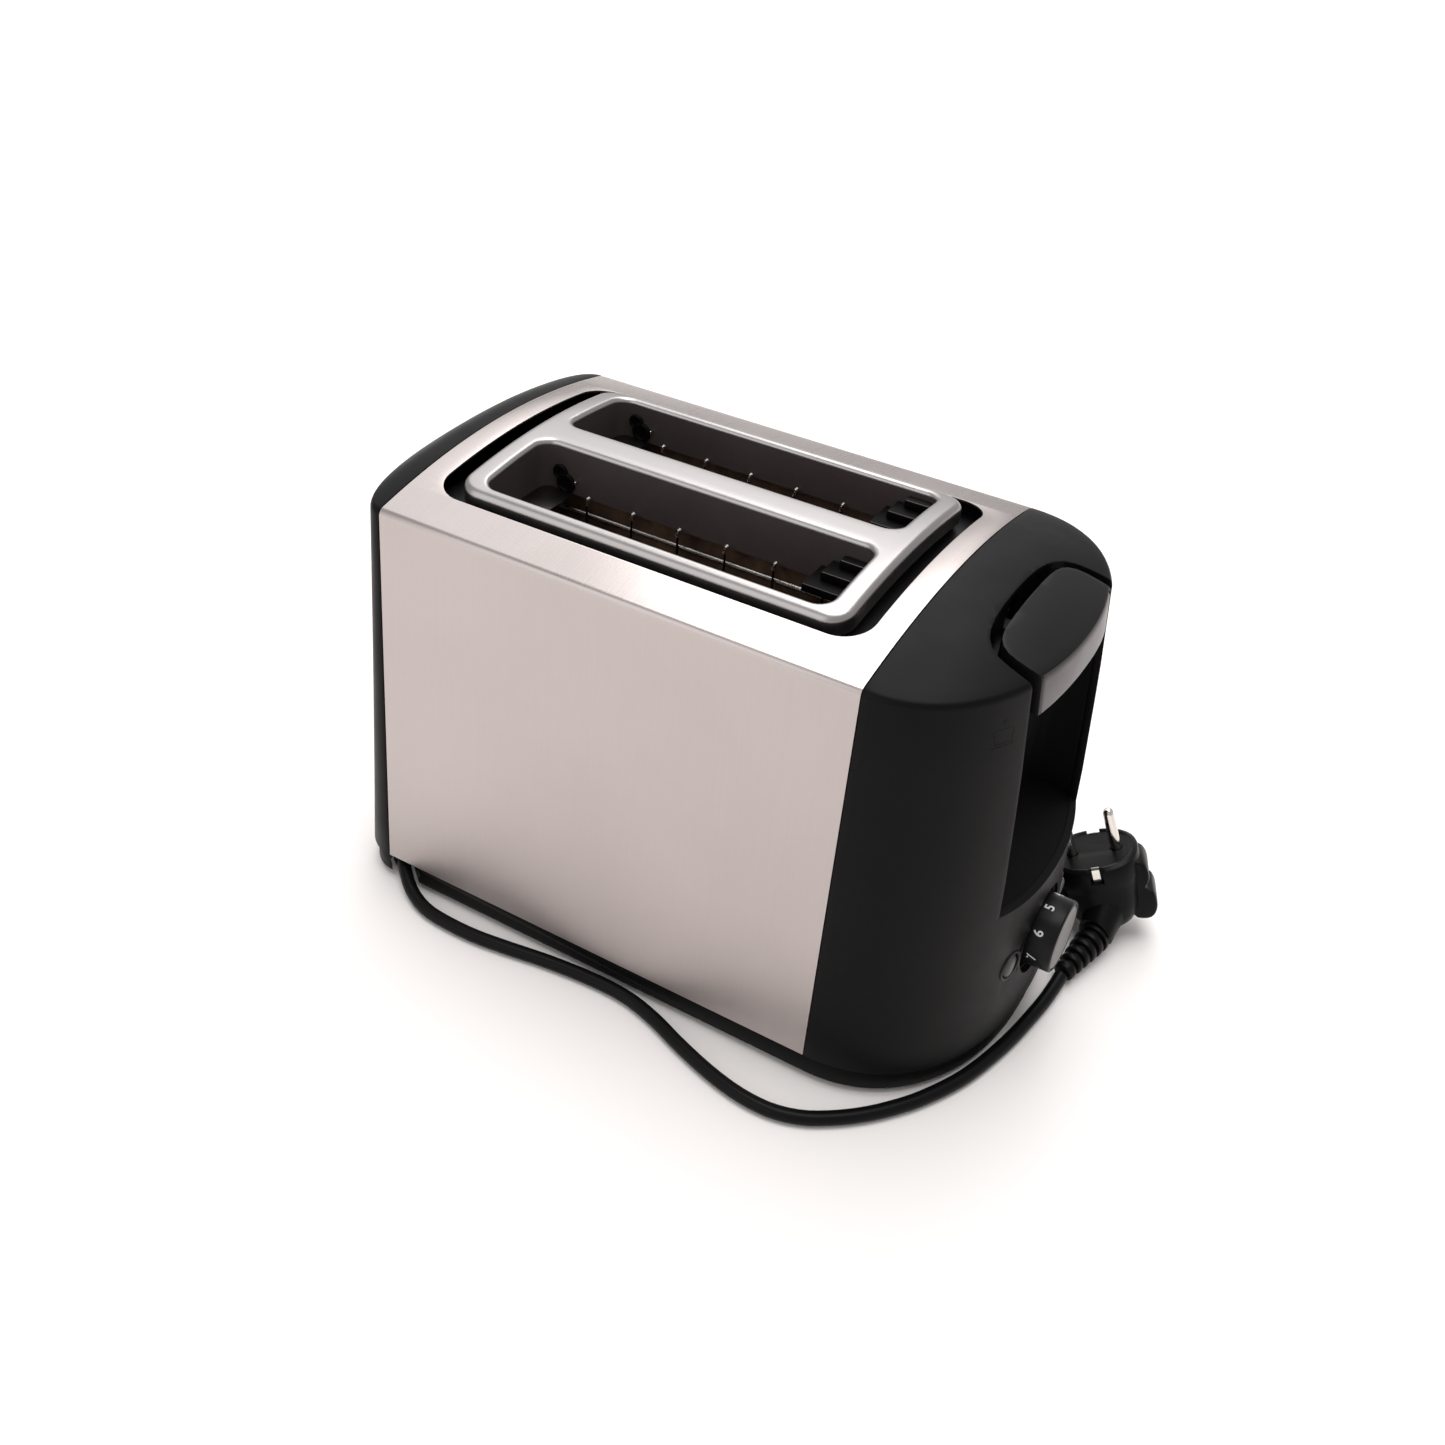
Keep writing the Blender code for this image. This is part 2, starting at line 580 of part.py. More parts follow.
def heaters():
    """Mica boards and the flat ribbon that runs to and fro over each side that faces a slot."""
    low, high, rows, pitch = 0.026, 0.1740, 8, 0.0182
    boards = (("front", -0.0600, -0.0590), ("middle", -0.0006, 0.0006), ("back", 0.0590, 0.0600))
    for name, y0, y1 in boards:
        boxes(f"mica_board_{name}", MICA, ((-0.0800, y0, low), (0.0800, y1, high)))
    path = []
    for row in range(rows):
        z = low + 0.010 + row * pitch
        ends = (-0.0760, 0.0760) if row % 2 == 0 else (0.0760, -0.0760)
        path += [(x, z) for x in ends]
    for name, face, side in (("front", -0.0590, 1), ("middle_front", -0.0006, -1),
                             ("middle_back", 0.0006, 1), ("back", 0.0590, -1)):
        y0, y1 = sorted((face + side * GAP, face + side * (GAP + 0.0004)))
        flat(f"heater_ribbon_{name}", RIBBON, [strip_outline(path, 0.0018)], y0, y1, "XZ")


def bread_guards():
    """Wire cages that hang from the chutes' lower edges and swing in to hold the slice."""
    made = []
    for slot, side in (("front", -1), ("back", 1)):
        for where, near in (("inner", 0.0098), ("outer", 0.0489)):
            y = side * near
            outer = [(-0.0760, 0.0260), (0.0760, 0.0260), (0.0760, 0.1748), (-0.0760, 0.1748)]
            wire = 0.0016
            windows = []
            edges = [-0.0760] + [-0.0520 + 0.0216 * k for k in range(6)] + [0.0760]
            for a, b in zip(edges, edges[1:]):
                left = a + (wire if a == -0.0760 else wire / 2)
                right = b - (wire if b == 0.0760 else wire / 2)
                for z0, z1 in ((0.0276, 0.0950), (0.0966, 0.1670), (0.1686, 0.1732)):
                    windows.append([(left, z0), (right, z0), (right, z1), (left, z1)])
            made.append(flat(f"bread_guard_{slot}_{where}", WIRE, [outer] + windows,
                             y - wire / 2, y + wire / 2, "XZ"))
    return made


# ---------------------------------------------------------------- lever carriage
def lever_parts():
    """Pad and trim that fill the recess's top, flush with the roof, and the arm behind them."""
    limit = 0.0004
    plan = [(0.1310, -0.0262), (0.1318, -0.0306), (0.1350, -0.0340), (0.1395, -0.0352),
            (0.1700, -0.0352), (0.1700, 0.0352), (0.1395, 0.0352), (0.1350, 0.0340),
            (0.1318, 0.0306), (0.1310, 0.0262)]
    pad = flat("lever_pad", SATIN, [plan], 0.1715, 0.2100)
    shape(pad, "INTERSECT", cap_solid("pad_limit", 1, LEVER_CAP_DEPTH, inset=limit, low=0.1))
    step = boxes("trim_seat", GREY, ((0.1395, -0.04, 0.1600), (0.1800, 0.04, 0.1846)), cutter=True)
    shape(step, "DIFFERENCE", cap_solid("trim_seat_limit", 1, LEVER_CAP_DEPTH, inset=0.0036, low=0.1,
                                        behind=0.002))
    shape(pad, "DIFFERENCE", step)
    trim = boxes("lever_trim", GREY, ((0.1400, -0.0350, 0.1698), (0.1750, 0.0350, 0.1843)))
    shape(trim, "INTERSECT", cap_solid("trim_limit", 1, LEVER_CAP_DEPTH, inset=limit, low=0.1))
    shape(trim, "DIFFERENCE", cap_solid("trim_back", 1, LEVER_CAP_DEPTH, inset=0.0033, low=0.1,
                                        behind=0.002))
    arm = boxes("lever_arm", ZINC, ((0.1078, -0.0035, 0.1735), (0.1307, 0.0035, 0.1785)))
    return pad, trim, arm


def carriage():
    """Slider on the guide rod, the two bread racks that it carries and the latch plate."""
    slider = boxes("slider", ZINC, ((0.1050, -0.0120, RACK_Z), (0.1075, 0.0120, 0.1785)))
    cross = boxes("slider_cross", ZINC, ((0.1050, -0.0330, RACK_Z), (0.1075, 0.0330, RACK_Z + 0.008)),
                  cutter=True)
    boss = boxes("slider_boss", ZINC, ((0.1070, -0.0200, 0.1060), (0.1180, -0.0120, 0.1260)), cutter=True)
    web = boxes("slider_web", ZINC, ((0.1052, -0.0200, 0.1058), (0.1073, -0.0100, 0.1262)), cutter=True)
    ear = boxes("slider_ear", ZINC, ((0.1070, 0.0098, 0.1060), (0.1180, 0.0205, 0.1075)), cutter=True)
    ear_web = boxes("slider_ear_web", ZINC, ((0.1052, 0.0090, 0.1055), (0.1073, 0.0207, 0.1110)),
                    cutter=True)
    shape(slider, "UNION", cross, web, boss, ear_web, ear)
    bore = rods("slider_bore", ZINC, ((0.1130, -0.0160, 0.09), (0.1130, -0.0160, 0.14), 0.0023),
                segments=20, cutter=True)
    shape(slider, "DIFFERENCE", bore)
    racks = []
    for name, y in (("front", -SLOT_MIDDLE), ("back", SLOT_MIDDLE)):
        teeth = []
        pitch = 0.018
        for k in range(8):
            x = -0.0630 + k * pitch
            teeth += [(x - 0.004, RACK_Z + 0.0045), (x - 0.002, RACK_Z + 0.0075),
                      (x + 0.002, RACK_Z + 0.0075), (x + 0.004, RACK_Z + 0.0045)]
        outline = [(-0.0905, RACK_Z), (0.1047, RACK_Z), (0.1047, RACK_Z + 0.0045)] + teeth[::-1]
        outline += [(-0.0905, RACK_Z + 0.0045)]
        racks.append(flat(f"bread_rack_{name}", ZINC, [outline], y - 0.0010, y + 0.0010, "XZ"))
    keeper = boxes("latch_keeper", ZINC, ((0.1078, -0.0070, 0.1145), (0.1205, 0.0070, 0.1165)))
    return slider, racks, keeper


def carriage_guide():
    """C-shaped bracket, the rod between its ears and the spring that lifts the carriage."""
    outline = [(0.0990, 0.0134), (0.1180, 0.0134), (0.1180, 0.0146), (0.1002, 0.0146),
               (0.1002, 0.1884), (0.1180, 0.1884), (0.1180, 0.1896), (0.0990, 0.1896)]
    bracket = flat("carriage_bracket", ZINC, [outline], -0.0240, 0.0240, "XZ")
    rod = rods("guide_rod", NICKEL, ((0.1130, -0.0160, 0.0149), (0.1130, -0.0160, 0.1881), 0.0020),
               segments=16)
    turns, coil = 11, 12
    low, high = 0.1090, 0.1872
    points = []
    for i in range(turns * coil + 1):
        angle = math.tau * i / coil
        points.append((0.1130 + SLEEVE_X + 0.0032 * math.cos(angle), 0.0155 + 0.0032 * math.sin(angle),
                       low + (high - low) * i / (turns * coil)))
    spring = tube("return_spring", NICKEL, points, 0.0005, sides=0)
    return bracket, rod, spring


def latch_magnet():
    core = boxes("magnet_core", ZINC, ((0.1115, -0.0030, 0.0150), (0.1235, 0.0030, 0.0412)))
    coil = rods("magnet_coil", COPPER, ((0.1175, 0, 0.0190), (0.1175, 0, 0.0340), 0.0090), segments=20)
    window = boxes("coil_window", COPPER, ((0.1112, -0.0033, 0.0), (0.1238, 0.0033, 0.06)), cutter=True)
    shape(coil, "DIFFERENCE", window)
    return core, coil


# ---------------------------------------------------------------- controls
def controls():
    """Dial with its pale disc and shaft, two buttons, and the board that they work on."""
    half = SLEEVE_LENGTH / 2
    length = DIAL_FRONT - (half + 0.0546)
    edge = 0.0009
    turned("browning_knob", SATIN,
           [(0.0, length - 0.0008), (DIAL_RADIUS - 0.0012, length - 0.0008),
            (DIAL_RADIUS - 0.0012, length), (DIAL_RADIUS - 0.0006, length),
            (DIAL_RADIUS, length - edge), (DIAL_RADIUS + 0.0003, 0.0),
            (0.0033, 0.0), (0.0033, 0.0110), (0.0, 0.0110)],
           (half + 0.0546, 0, DIAL_Z), (1, 0, 0), segments=40)
    turned("dial_disc", SILVER, [(0.0, 0.0005), (DIAL_RADIUS - 0.0016, 0.0005),
                                 (DIAL_RADIUS - 0.0016, 0.0), (0.0, 0.0)],
           (DIAL_FRONT - 0.0005, 0, DIAL_Z), (1, 0, 0), segments=40)
    rods("dial_shaft", NICKEL, ((0.1490, 0, DIAL_Z), (half + 0.0654, 0, DIAL_Z), 0.0030), segments=16)
    boxes("potentiometer", SILVER, ((0.1420, -0.0080, 0.0400), (0.1487, 0.0080, 0.0560)))
    board = boxes("circuit_board", BOARD, ((0.1400, -0.0400, 0.0180), (0.1416, 0.0400, 0.0700)))
    front = half + 0.0588
    profile = [(0.0, 0.0162), (0.0036, 0.0160), (0.0046, 0.0154), (BUTTON_RADIUS, 0.0144),
               (BUTTON_RADIUS, 0.0088), (0.0068, 0.0088), (0.0068, 0.0077), (0.0020, 0.0074),
               (0.0020, 0.0), (0.0, 0.0)]
    for name, side in (("stop", -1), ("defrost", 1)):
        turned(f"{name}_button", SILVER, profile, (front - 0.0162, side * BUTTON_Y, DIAL_Z), (1, 0, 0),
               segments=28)
    for side in (-1, 1):
        shape(board, "UNION", boxes(f"switch_{side}", BLACK,
                                    ((0.1412, side * BUTTON_Y - 0.003, DIAL_Z - 0.003),
                                     (0.1440, side * BUTTON_Y + 0.003, DIAL_Z + 0.003)), cutter=True))


# ---------------------------------------------------------------- mains lead
# The lead's route on the table, from the gland to the plug.  Written as distances from the
# sleeve's middle, along X and Y, with the height of the lead's middle.
CORD_ROUTE = [
    (-0.0992, -0.0798, 0.0080), (-0.0935, -0.0848, 0.0066), (-0.0870, -0.0895, 0.0046),
    (-0.0780, -0.0935, 0.0033), (-0.0680, -0.0955, 0.0031), (-0.0500, -0.0958, 0.0031),
    (-0.0320, -0.0935, 0.0031), (-0.0140, -0.0905, 0.0031), (0.0060, -0.0885, 0.0031),
    (0.0240, -0.0887, 0.0031), (0.0400, -0.0925, 0.0031), (0.0570, -0.0990, 0.0031),
    (0.0740, -0.1045, 0.0031), (0.0890, -0.1075, 0.0031), (0.1025, -0.1075, 0.0031),
    (0.1140, -0.1040, 0.0031), (0.1240, -0.0975, 0.0031), (0.1335, -0.0890, 0.0031),
    (0.1420, -0.0790, 0.0031), (0.1500, -0.0670, 0.0031), (0.1590, -0.0480, 0.0031),
    (0.1660, -0.0220, 0.0031), (0.1700, 0.0040, 0.0033), (0.1712, 0.0180, 0.0040),
    (0.1715, 0.0250, 0.0049),
]
CORD_STEP = 0.0085


def smooth_route(route, step):
    """Evenly spaced points along a Catmull-Rom curve through the route's points."""
    points = [Vector(p) for p in route]
    points = [2 * points[0] - points[1]] + points + [2 * points[-1] - points[-2]]
    fine = []
    for a, b, c, d in zip(points, points[1:], points[2:], points[3:]):
        for i in range(12):
            t = i / 12
            fine.append(0.5 * ((2 * b) + (c - a) * t + (2 * a - 5 * b + 4 * c - d) * t ** 2
                               + (3 * b - a - 3 * c + d) * t ** 3))
    fine.append(points[-2])
    total = sum((b - a).length for a, b in zip(fine, fine[1:]))
    count = round(total / step)
    out, walked, index = [fine[0]], 0.0, 0
    for k in range(1, count):
        goal = total * k / count
        while walked + (fine[index + 1] - fine[index]).length < goal:
            walked += (fine[index + 1] - fine[index]).length
            index += 1
        span = fine[index + 1] - fine[index]
        out.append(fine[index] + span * ((goal - walked) / span.length))
    return out + [fine[-1]]


def cord():
    shift = Vector((SLEEVE_X, 0, 0))
    points = [tuple(p + shift) for p in smooth_route(CORD_ROUTE, CORD_STEP)]
    return tube("cord", PVC, points, CORD_RADIUS, sides=2)


def cord_gland():
    """Tapered grip in the base's notch, which the lead comes out of."""
    length = 0.022
    return turned("cord_gland", PVC, [(0.0, length), (0.0036, length), (0.0048, 0.004), (0.0048, 0.0),
                                      (0.0, 0.0)],
                  CORD_EXIT - CORD_OUT * (length + GAP), CORD_OUT, segments=20)


def plug_axes():
    out = PLUG_OUT.normalized()
    row = (PLUG_ROW - out * PLUG_ROW.dot(out)).normalized()
    return out, row, out.cross(row)


def plug_matrix():
    """Plug frame: X along the row of pins, Y across it, Z the way the pins point."""
    out, row, across = plug_axes()
    turn = Matrix((row, across, out)).transposed().to_4x4()
    return Matrix.Translation(PLUG_FACE) @ turn


def plug_section(half_x, half_y, shift_y, z, steps=24):
    ring = []
    for i in range(steps):
        angle = math.tau * i / steps
        c, s = math.cos(angle), math.sin(angle)
        x = half_x * math.copysign(abs(c) ** 0.85, c)
        y = half_y * math.copysign(abs(s) ** 0.85, s) + shift_y
        ring.append((x, y, z))
    return ring


def plug_body():
    """Round face and a body that narrows behind it and leans towards the lead."""
    sections = [plug_section(0.0178, 0.0178, 0.0, 0.0), plug_section(0.0188, 0.0188, 0.0, -0.0012),
                plug_section(0.0190, 0.0190, 0.0, -0.0095), plug_section(0.0176, 0.0180, -0.0010, -0.0140),
                plug_section(0.0158, 0.0165, -0.0030, -0.0220), plug_section(0.0125, 0.0140, -0.0050, -0.0290),
                plug_section(0.0090, 0.0110, -0.0060, -0.0315)]
    bm = bmesh.new()
    grid = [[bm.verts.new(p) for p in ring] for ring in sections]
    for lower, upper in zip(grid, grid[1:]):
        for i in range(len(lower)):
            j = (i + 1) % len(lower)
            bm.faces.new((lower[i], lower[j], upper[j], upper[i]))
    bm.faces.new(grid[0])
    bm.faces.new(grid[-1])
    body = add("plug_body", mesh_from(bm, "plug_body", smooth=True), PVC)
    body.matrix_world = plug_matrix()
    bm = bmesh.new()
    neck = plug_matrix() @ Vector((0.0, -0.012, -0.0230))
    add_rod(bm, neck - Vector((SLEEVE_X, 0, 0)), RELIEF_START, 0.0095, 0.0074, segments=20)
    shape(body, "UNION", add("plug_neck", mesh_from(bm, "plug_neck"), PVC, cutter=True))
    cuts = [plug_pin(f"pin_socket_{side}", side, -0.0060, 0.0060, PIN_RADIUS + GAP) for side in (-1, 1)]
    cuts += [plug_box("bridge_socket", (-0.0095, -0.0018, -0.0060), (0.0095, 0.0018, 0.0040)),
             plug_box("strap_socket", (-0.0028, -0.0200, -0.0100), (0.0028, 0.0200, -0.0080))]
    cuts += [plug_box(f"clip_socket_{side}", (-0.0038, min(side * 0.0148, side * 0.0220), -0.0100),
                      (0.0038, max(side * 0.0148, side * 0.0220), 0.0040)) for side in (-1, 1)]
    along = (RELIEF_END - RELIEF_START).normalized()
    cuts.append(rods("relief_seat", PVC, (RELIEF_START, RELIEF_START + along * 0.014, 0.013),
                     segments=20, cutter=True))
    return shape(body, "DIFFERENCE", *cuts)


def plug_box(name, low, high, mat=PVC, cutter=True):
    bm = bmesh.new()
    place = Matrix.Translation([(a + b) / 2 for a, b in zip(low, high)])
    size = Matrix.Diagonal((*(b - a for a, b in zip(low, high)), 1.0))
    bmesh.ops.create_cube(bm, size=1.0, matrix=place @ size)
    obj = add(name, mesh_from(bm, name), mat, cutter)
    obj.matrix_world = plug_matrix()
    return obj


def plug_pin(name, side, low, high, radius, mat=PVC, cutter=True):
    bm = bmesh.new()
    place = Matrix.Translation((side * PIN_SPACING / 2, 0, (low + high) / 2))
    bmesh.ops.create_cone(bm, cap_ends=True, segments=16, radius1=radius, radius2=radius,
                          depth=high - low, matrix=place)
    obj = add(name, mesh_from(bm, name, smooth=True), mat, cutter)
    obj.matrix_world = plug_matrix()
    return obj


def plug_metal():
    """Two round pins on their bridge, and the earth strap that ends in a contact at each side."""
    low = -0.0057
    pins = plug_pin("plug_pins", -1, low, PIN_LENGTH, PIN_RADIUS, NICKEL, cutter=False)
    shape(pins, "UNION", plug_pin("second_pin", 1, low, PIN_LENGTH, PIN_RADIUS),
          plug_box("pin_bridge", (-0.0095, -0.0014, low + 0.0002), (0.0095, 0.0014, -0.0030)))
    strap = plug_box("earth_contacts", (-0.0025, -0.0163, -0.0095), (0.0025, 0.0163, -0.0085), NICKEL,
                     cutter=False)
    for side in (-1, 1):
        y0, y1 = sorted((side * 0.0153, side * 0.0163))
        shape(strap, "UNION", plug_box(f"clip_{side}", (-0.0024, y0, -0.0094), (0.0024, y1, -0.0008)))


RELIEF_START = Vector((0.1763, 0.0525, 0.0090))
RELIEF_END = Vector((0.1716, 0.0265, 0.0053))


def plug_relief():
    """Ribbed sleeve between the plug and the lead."""
    start = RELIEF_START + (RELIEF_END - RELIEF_START).normalized() * GAP
    along = RELIEF_END - start
    length = along.length
    profile = [(0.0, length), (0.0040, length)]
    ribs = 5
    for k in range(ribs):
        part = (k + 0.35) / (ribs + 0.4)
        height = length * (1 - part)
        outer = 0.0044 + 0.0022 * part
        profile += [(outer, height + 0.0011), (outer, height - 0.0011),
                    (outer - 0.0012, height - 0.0016), (outer - 0.0012, height - 0.0026)]
    profile += [(0.0070, 0.0010), (0.0070, 0.0), (0.0, 0.0)]
    return turned("plug_relief", PVC, profile, start, along, segments=20)


# ---------------------------------------------------------------- wiring and fasteners
def wiring():
    block = boxes("terminal_block", WHITE, ((-0.1140, -0.0700, 0.0160), (-0.1010, -0.0440, 0.0260)))
    low = Vector((SLEEVE_X, 0, 0))
    start = CORD_EXIT - CORD_OUT * 0.0246
    points = [start + low, start + Vector((0, 0, 0.0030)) + low,
              Vector((-0.1178, -0.0610, 0.0165)) + low, Vector((-0.1167, -0.0590, 0.0208)) + low,
              Vector((-0.1147, -0.0585, 0.0210)) + low]
    return block, tube("inner_lead", WHITE, [tuple(p) for p in points], 0.0018, sides=1)


outer_sleeve()
slot_frame()
slot_deck()
slot_chutes()
lever_end_cap()
rear_end_cap()
base()
feet_and_screws()
crumb_tray()
tray_grip()
chassis_plates()
heat_shields()
heaters()
bread_guards()
lever_parts()
carriage()
carriage_guide()
latch_magnet()
controls()
cord()
cord_gland()
plug_body()
plug_metal()
plug_relief()
wiring()
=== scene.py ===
"""Looks of the pop-up toaster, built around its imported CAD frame.  Metres, +Z up."""

from math import atan2, copysign, cos, hypot, pi, radians, sin, tan, tau

import bmesh
import bpy
from mathutils import Matrix, Vector
from mathutils.geometry import delaunay_2d_cdt


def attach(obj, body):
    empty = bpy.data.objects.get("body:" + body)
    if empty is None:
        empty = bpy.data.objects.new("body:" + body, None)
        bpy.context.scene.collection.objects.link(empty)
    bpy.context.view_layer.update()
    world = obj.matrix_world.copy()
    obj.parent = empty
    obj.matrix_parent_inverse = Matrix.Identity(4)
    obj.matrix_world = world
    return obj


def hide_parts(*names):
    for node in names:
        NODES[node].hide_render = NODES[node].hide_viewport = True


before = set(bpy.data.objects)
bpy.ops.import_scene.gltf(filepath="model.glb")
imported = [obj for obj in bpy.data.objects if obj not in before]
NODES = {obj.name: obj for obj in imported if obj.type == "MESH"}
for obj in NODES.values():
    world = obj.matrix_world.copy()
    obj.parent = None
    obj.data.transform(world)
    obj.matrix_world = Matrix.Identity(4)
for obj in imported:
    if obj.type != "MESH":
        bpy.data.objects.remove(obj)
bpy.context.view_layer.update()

# ---------------------------------------------------------------- shared dimensions
MID = -0.0194                      # X of the sleeve's middle; plans are measured from it
HALF_LENGTH = 0.1035               # of the steel sleeve
SKIRT_TOP = 0.013                  # the base's upper edge, where sleeve and caps begin
CREASE = 0.185                     # height of the line between a side and the roof
RISE = 0.0094                      # how far the roof arches above the crease
HALF_LOW, HALF_TOP = 0.084, 0.0795  # half the width at the skirt and at the crease
BEND = 0.0032                      # radius between a side and the roof
BEND_TURN = atan2(1, 2 * RISE / HALF_TOP)   # how far the bend turns to meet the roof
BEND_Z = CREASE + 0.182 * BEND - BEND * sin(BEND_TURN)
GAP = 0.0003                       # seam between neighbouring pieces
SHEET = 0.0009                     # thickness of the sleeve
CAP_WALL = 0.0025
ROUNDNESS = 2.19                   # power of a cap's plan, where 2 is an ellipse
# how far each end cap stands out from the sleeve, as (height, depth)
LEVER_DEPTH = ((0.013, 0.0604), (0.091, 0.0592), (0.144, 0.0560), (0.185, 0.0522))
REAR_DEPTH = ((0.013, 0.0310), (0.053, 0.0280), (0.113, 0.0240), (0.185, 0.0200))
DIAL_Z = 0.048
DIAL_RADIUS = 0.0153
DIAL_FRONT = 0.1733
DIAL_WELL = 0.0193                 # radius of the sunk ring round the dial
BUTTON_Y = 0.0273
TO_LEVER_END = (1, 0, 0)           # the way the dial and the buttons face
SPECK = 1e-6                       # points nearer than this are one point
PAD_CROWN = 0.0008                 # the lever pad stands this much above the roof line


# ---------------------------------------------------------------- mesh helpers
def link(name, data):
    obj = bpy.data.objects.new(name, data)
    bpy.context.scene.collection.objects.link(obj)
    return obj


def shade(obj, angle=32):
    obj.data.shade_smooth()
    obj.data.set_sharp_from_angle(angle=radians(angle))
    return obj


def made(name, bm, angle=32):
    bmesh.ops.recalc_face_normals(bm, faces=bm.faces)
    mesh = bpy.data.meshes.new(name)
    bm.to_mesh(mesh)
    bm.free()
    return shade(link(name, mesh), angle)


def settle(obj, angle=32):
    """Turn an object and its modifiers into a plain mesh."""
    graph = bpy.context.evaluated_depsgraph_get()
    mesh = bpy.data.meshes.new_from_object(obj.evaluated_get(graph), depsgraph=graph)
    mesh.transform(obj.matrix_world)
    name = obj.name
    bpy.data.objects.remove(obj, do_unlink=True)
    mesh.name = name
    return shade(link(name, mesh), angle)


def combine(obj, operation, *others):
    for other in others:
        modifier = obj.modifiers.new("cut", "BOOLEAN")
        modifier.operation = operation
        modifier.solver = "EXACT"
        modifier.object = other
    obj = settle(obj)
    for other in others:
        bpy.data.objects.remove(other, do_unlink=True)
    return obj


def soften(obj, width, segments=3, angle=35, shading=32):
    """Round the sharp edges."""
    bm = bmesh.new()
    bm.from_mesh(obj.data)
    bmesh.ops.remove_doubles(bm, verts=bm.verts, dist=0.00002)
    bmesh.ops.dissolve_degenerate(bm, edges=bm.edges, dist=0.00002)
    bm.to_mesh(obj.data)
    bm.free()
    modifier = obj.modifiers.new("round", "BEVEL")
    modifier.width = width
    modifier.segments = segments
    modifier.limit_method = "ANGLE"
    modifier.angle_limit = radians(angle)
    modifier.use_clamp_overlap = True
    modifier.miter_outer = "MITER_ARC"
    return settle(obj, shading)


def join(name, *objects):
    bm = bmesh.new()
    for obj in objects:
        bm.from_mesh(obj.data)
    for obj in objects:
        bpy.data.objects.remove(obj, do_unlink=True)
    mesh = bpy.data.meshes.new(name)
    bm.to_mesh(mesh)
    bm.free()
    return shade(link(name, mesh))


def loft(name, rings, closed_ends=True, angle=32):
    """Skin closed rings of points that all have the same number of points."""
    bm = bmesh.new()
    grid = [[bm.verts.new(point) for point in ring] for ring in rings]
    for lower, upper in zip(grid, grid[1:]):
        for i in range(len(lower)):
            j = (i + 1) % len(lower)
            bm.faces.new((lower[i], lower[j], upper[j], upper[i]))
    if closed_ends:
        bm.faces.new(reversed(grid[0]))
        bm.faces.new(grid[-1])
    return made(name, bm, angle)


def prism(name, outline, low, high, plane="XY"):
    """A closed outline in a plane, drawn out between two places across it.  X is from MID."""
    place = {
        "XY": lambda u, v, w: (u + MID, v, w),
        "YZ": lambda u, v, w: (w + MID, u, v),
        "XZ": lambda u, v, w: (u + MID, w, v),
    }[plane]
    return loft(name, [[place(u, v, w) for u, v in outline] for w in (low, high)])


def box(name, low, high):
    (x0, y0, z0), (x1, y1, z1) = low, high
    return prism(name, [(x0, y0), (x1, y0), (x1, y1), (x0, y1)], z0, z1)


def rod(name, start, end, radius, segments=32):
    """A round bar, with X from MID."""
    start = Vector(start) + Vector((MID, 0, 0))
    end = Vector(end) + Vector((MID, 0, 0))
    turn = (end - start).to_track_quat("Z", "Y").to_matrix().to_4x4()
    bm = bmesh.new()
    bmesh.ops.create_cone(bm, cap_ends=True, segments=segments, radius1=radius, radius2=radius,
                          depth=(end - start).length,
                          matrix=Matrix.Translation((start + end) / 2) @ turn)
    return made(name, bm)


def lathe(name, profile, base, axis, segments=48, angle=32):
    """Turn (radius, height) pairs about an axis through base, in world space."""
    turn = Vector(axis).to_track_quat("Z", "Y").to_matrix().to_4x4()
    place = Matrix.Translation(Vector(base)) @ turn
    bm = bmesh.new()
    rings = []
    for radius, height in profile:
        if radius < SPECK:
            rings.append([bm.verts.new(place @ Vector((0, 0, height)))])
            continue
        turns = [tau * i / segments for i in range(segments)]
        rings.append([bm.verts.new(place @ Vector((radius * cos(t), radius * sin(t), height)))
                      for t in turns])
    for a, b in zip(rings, rings[1:]):
        for i in range(segments):
            j = (i + 1) % segments
            corners = [a[i % len(a)], a[j % len(a)], b[j % len(b)], b[i % len(b)]]
            corners = list(dict.fromkeys(corners))      # three of them at a point on the axis
            if len(corners) > 2:
                bm.faces.new(corners)
    return made(name, bm, angle)


def tubes(name, paths, radius, resolution):
    """A curve object: round tubes along world points."""
    curve = bpy.data.curves.new(name, "CURVE")
    curve.dimensions = "3D"
    curve.bevel_depth = radius
    curve.bevel_resolution = resolution
    curve.use_fill_caps = True
    for points in paths:
        spline = curve.splines.new("POLY")
        spline.points.add(len(points) - 1)
        for point, place in zip(spline.points, points):
            point.co = (*place, 1)
    return link(name, curve)


def wires(name, paths, radius, resolution=3):
    """Round wires along world points, as one mesh."""
    return settle(tubes(name, paths, radius, resolution))


def rounded(x0, x1, y0, y1, radius, steps=8, sides=None):
    """A rectangle with round corners; sides gives how many pieces its X and Y sides have."""
    points = []
    corners = ((x1 - radius, y1 - radius, 0), (x0 + radius, y1 - radius, 90),
               (x0 + radius, y0 + radius, 180), (x1 - radius, y0 + radius, 270))
    for cx, cy, start in corners:
        for step in range(steps + 1):
            angle = radians(start + 90 * step / steps)
            points.append((cx + radius * cos(angle), cy + radius * sin(angle)))
    if sides is None:
        return points
    out = []
    for corner in range(4):
        run = points[corner * (steps + 1):(corner + 1) * (steps + 1)]
        after = points[((corner + 1) % 4) * (steps + 1)]
        out += run
        count = sides[corner % 2]
        out += [(run[-1][0] + (after[0] - run[-1][0]) * k / count,
                 run[-1][1] + (after[1] - run[-1][1]) * k / count) for k in range(1, count)]
    return out


def roof(y):
    return CREASE + RISE * (1 - (y / HALF_TOP) ** 2)


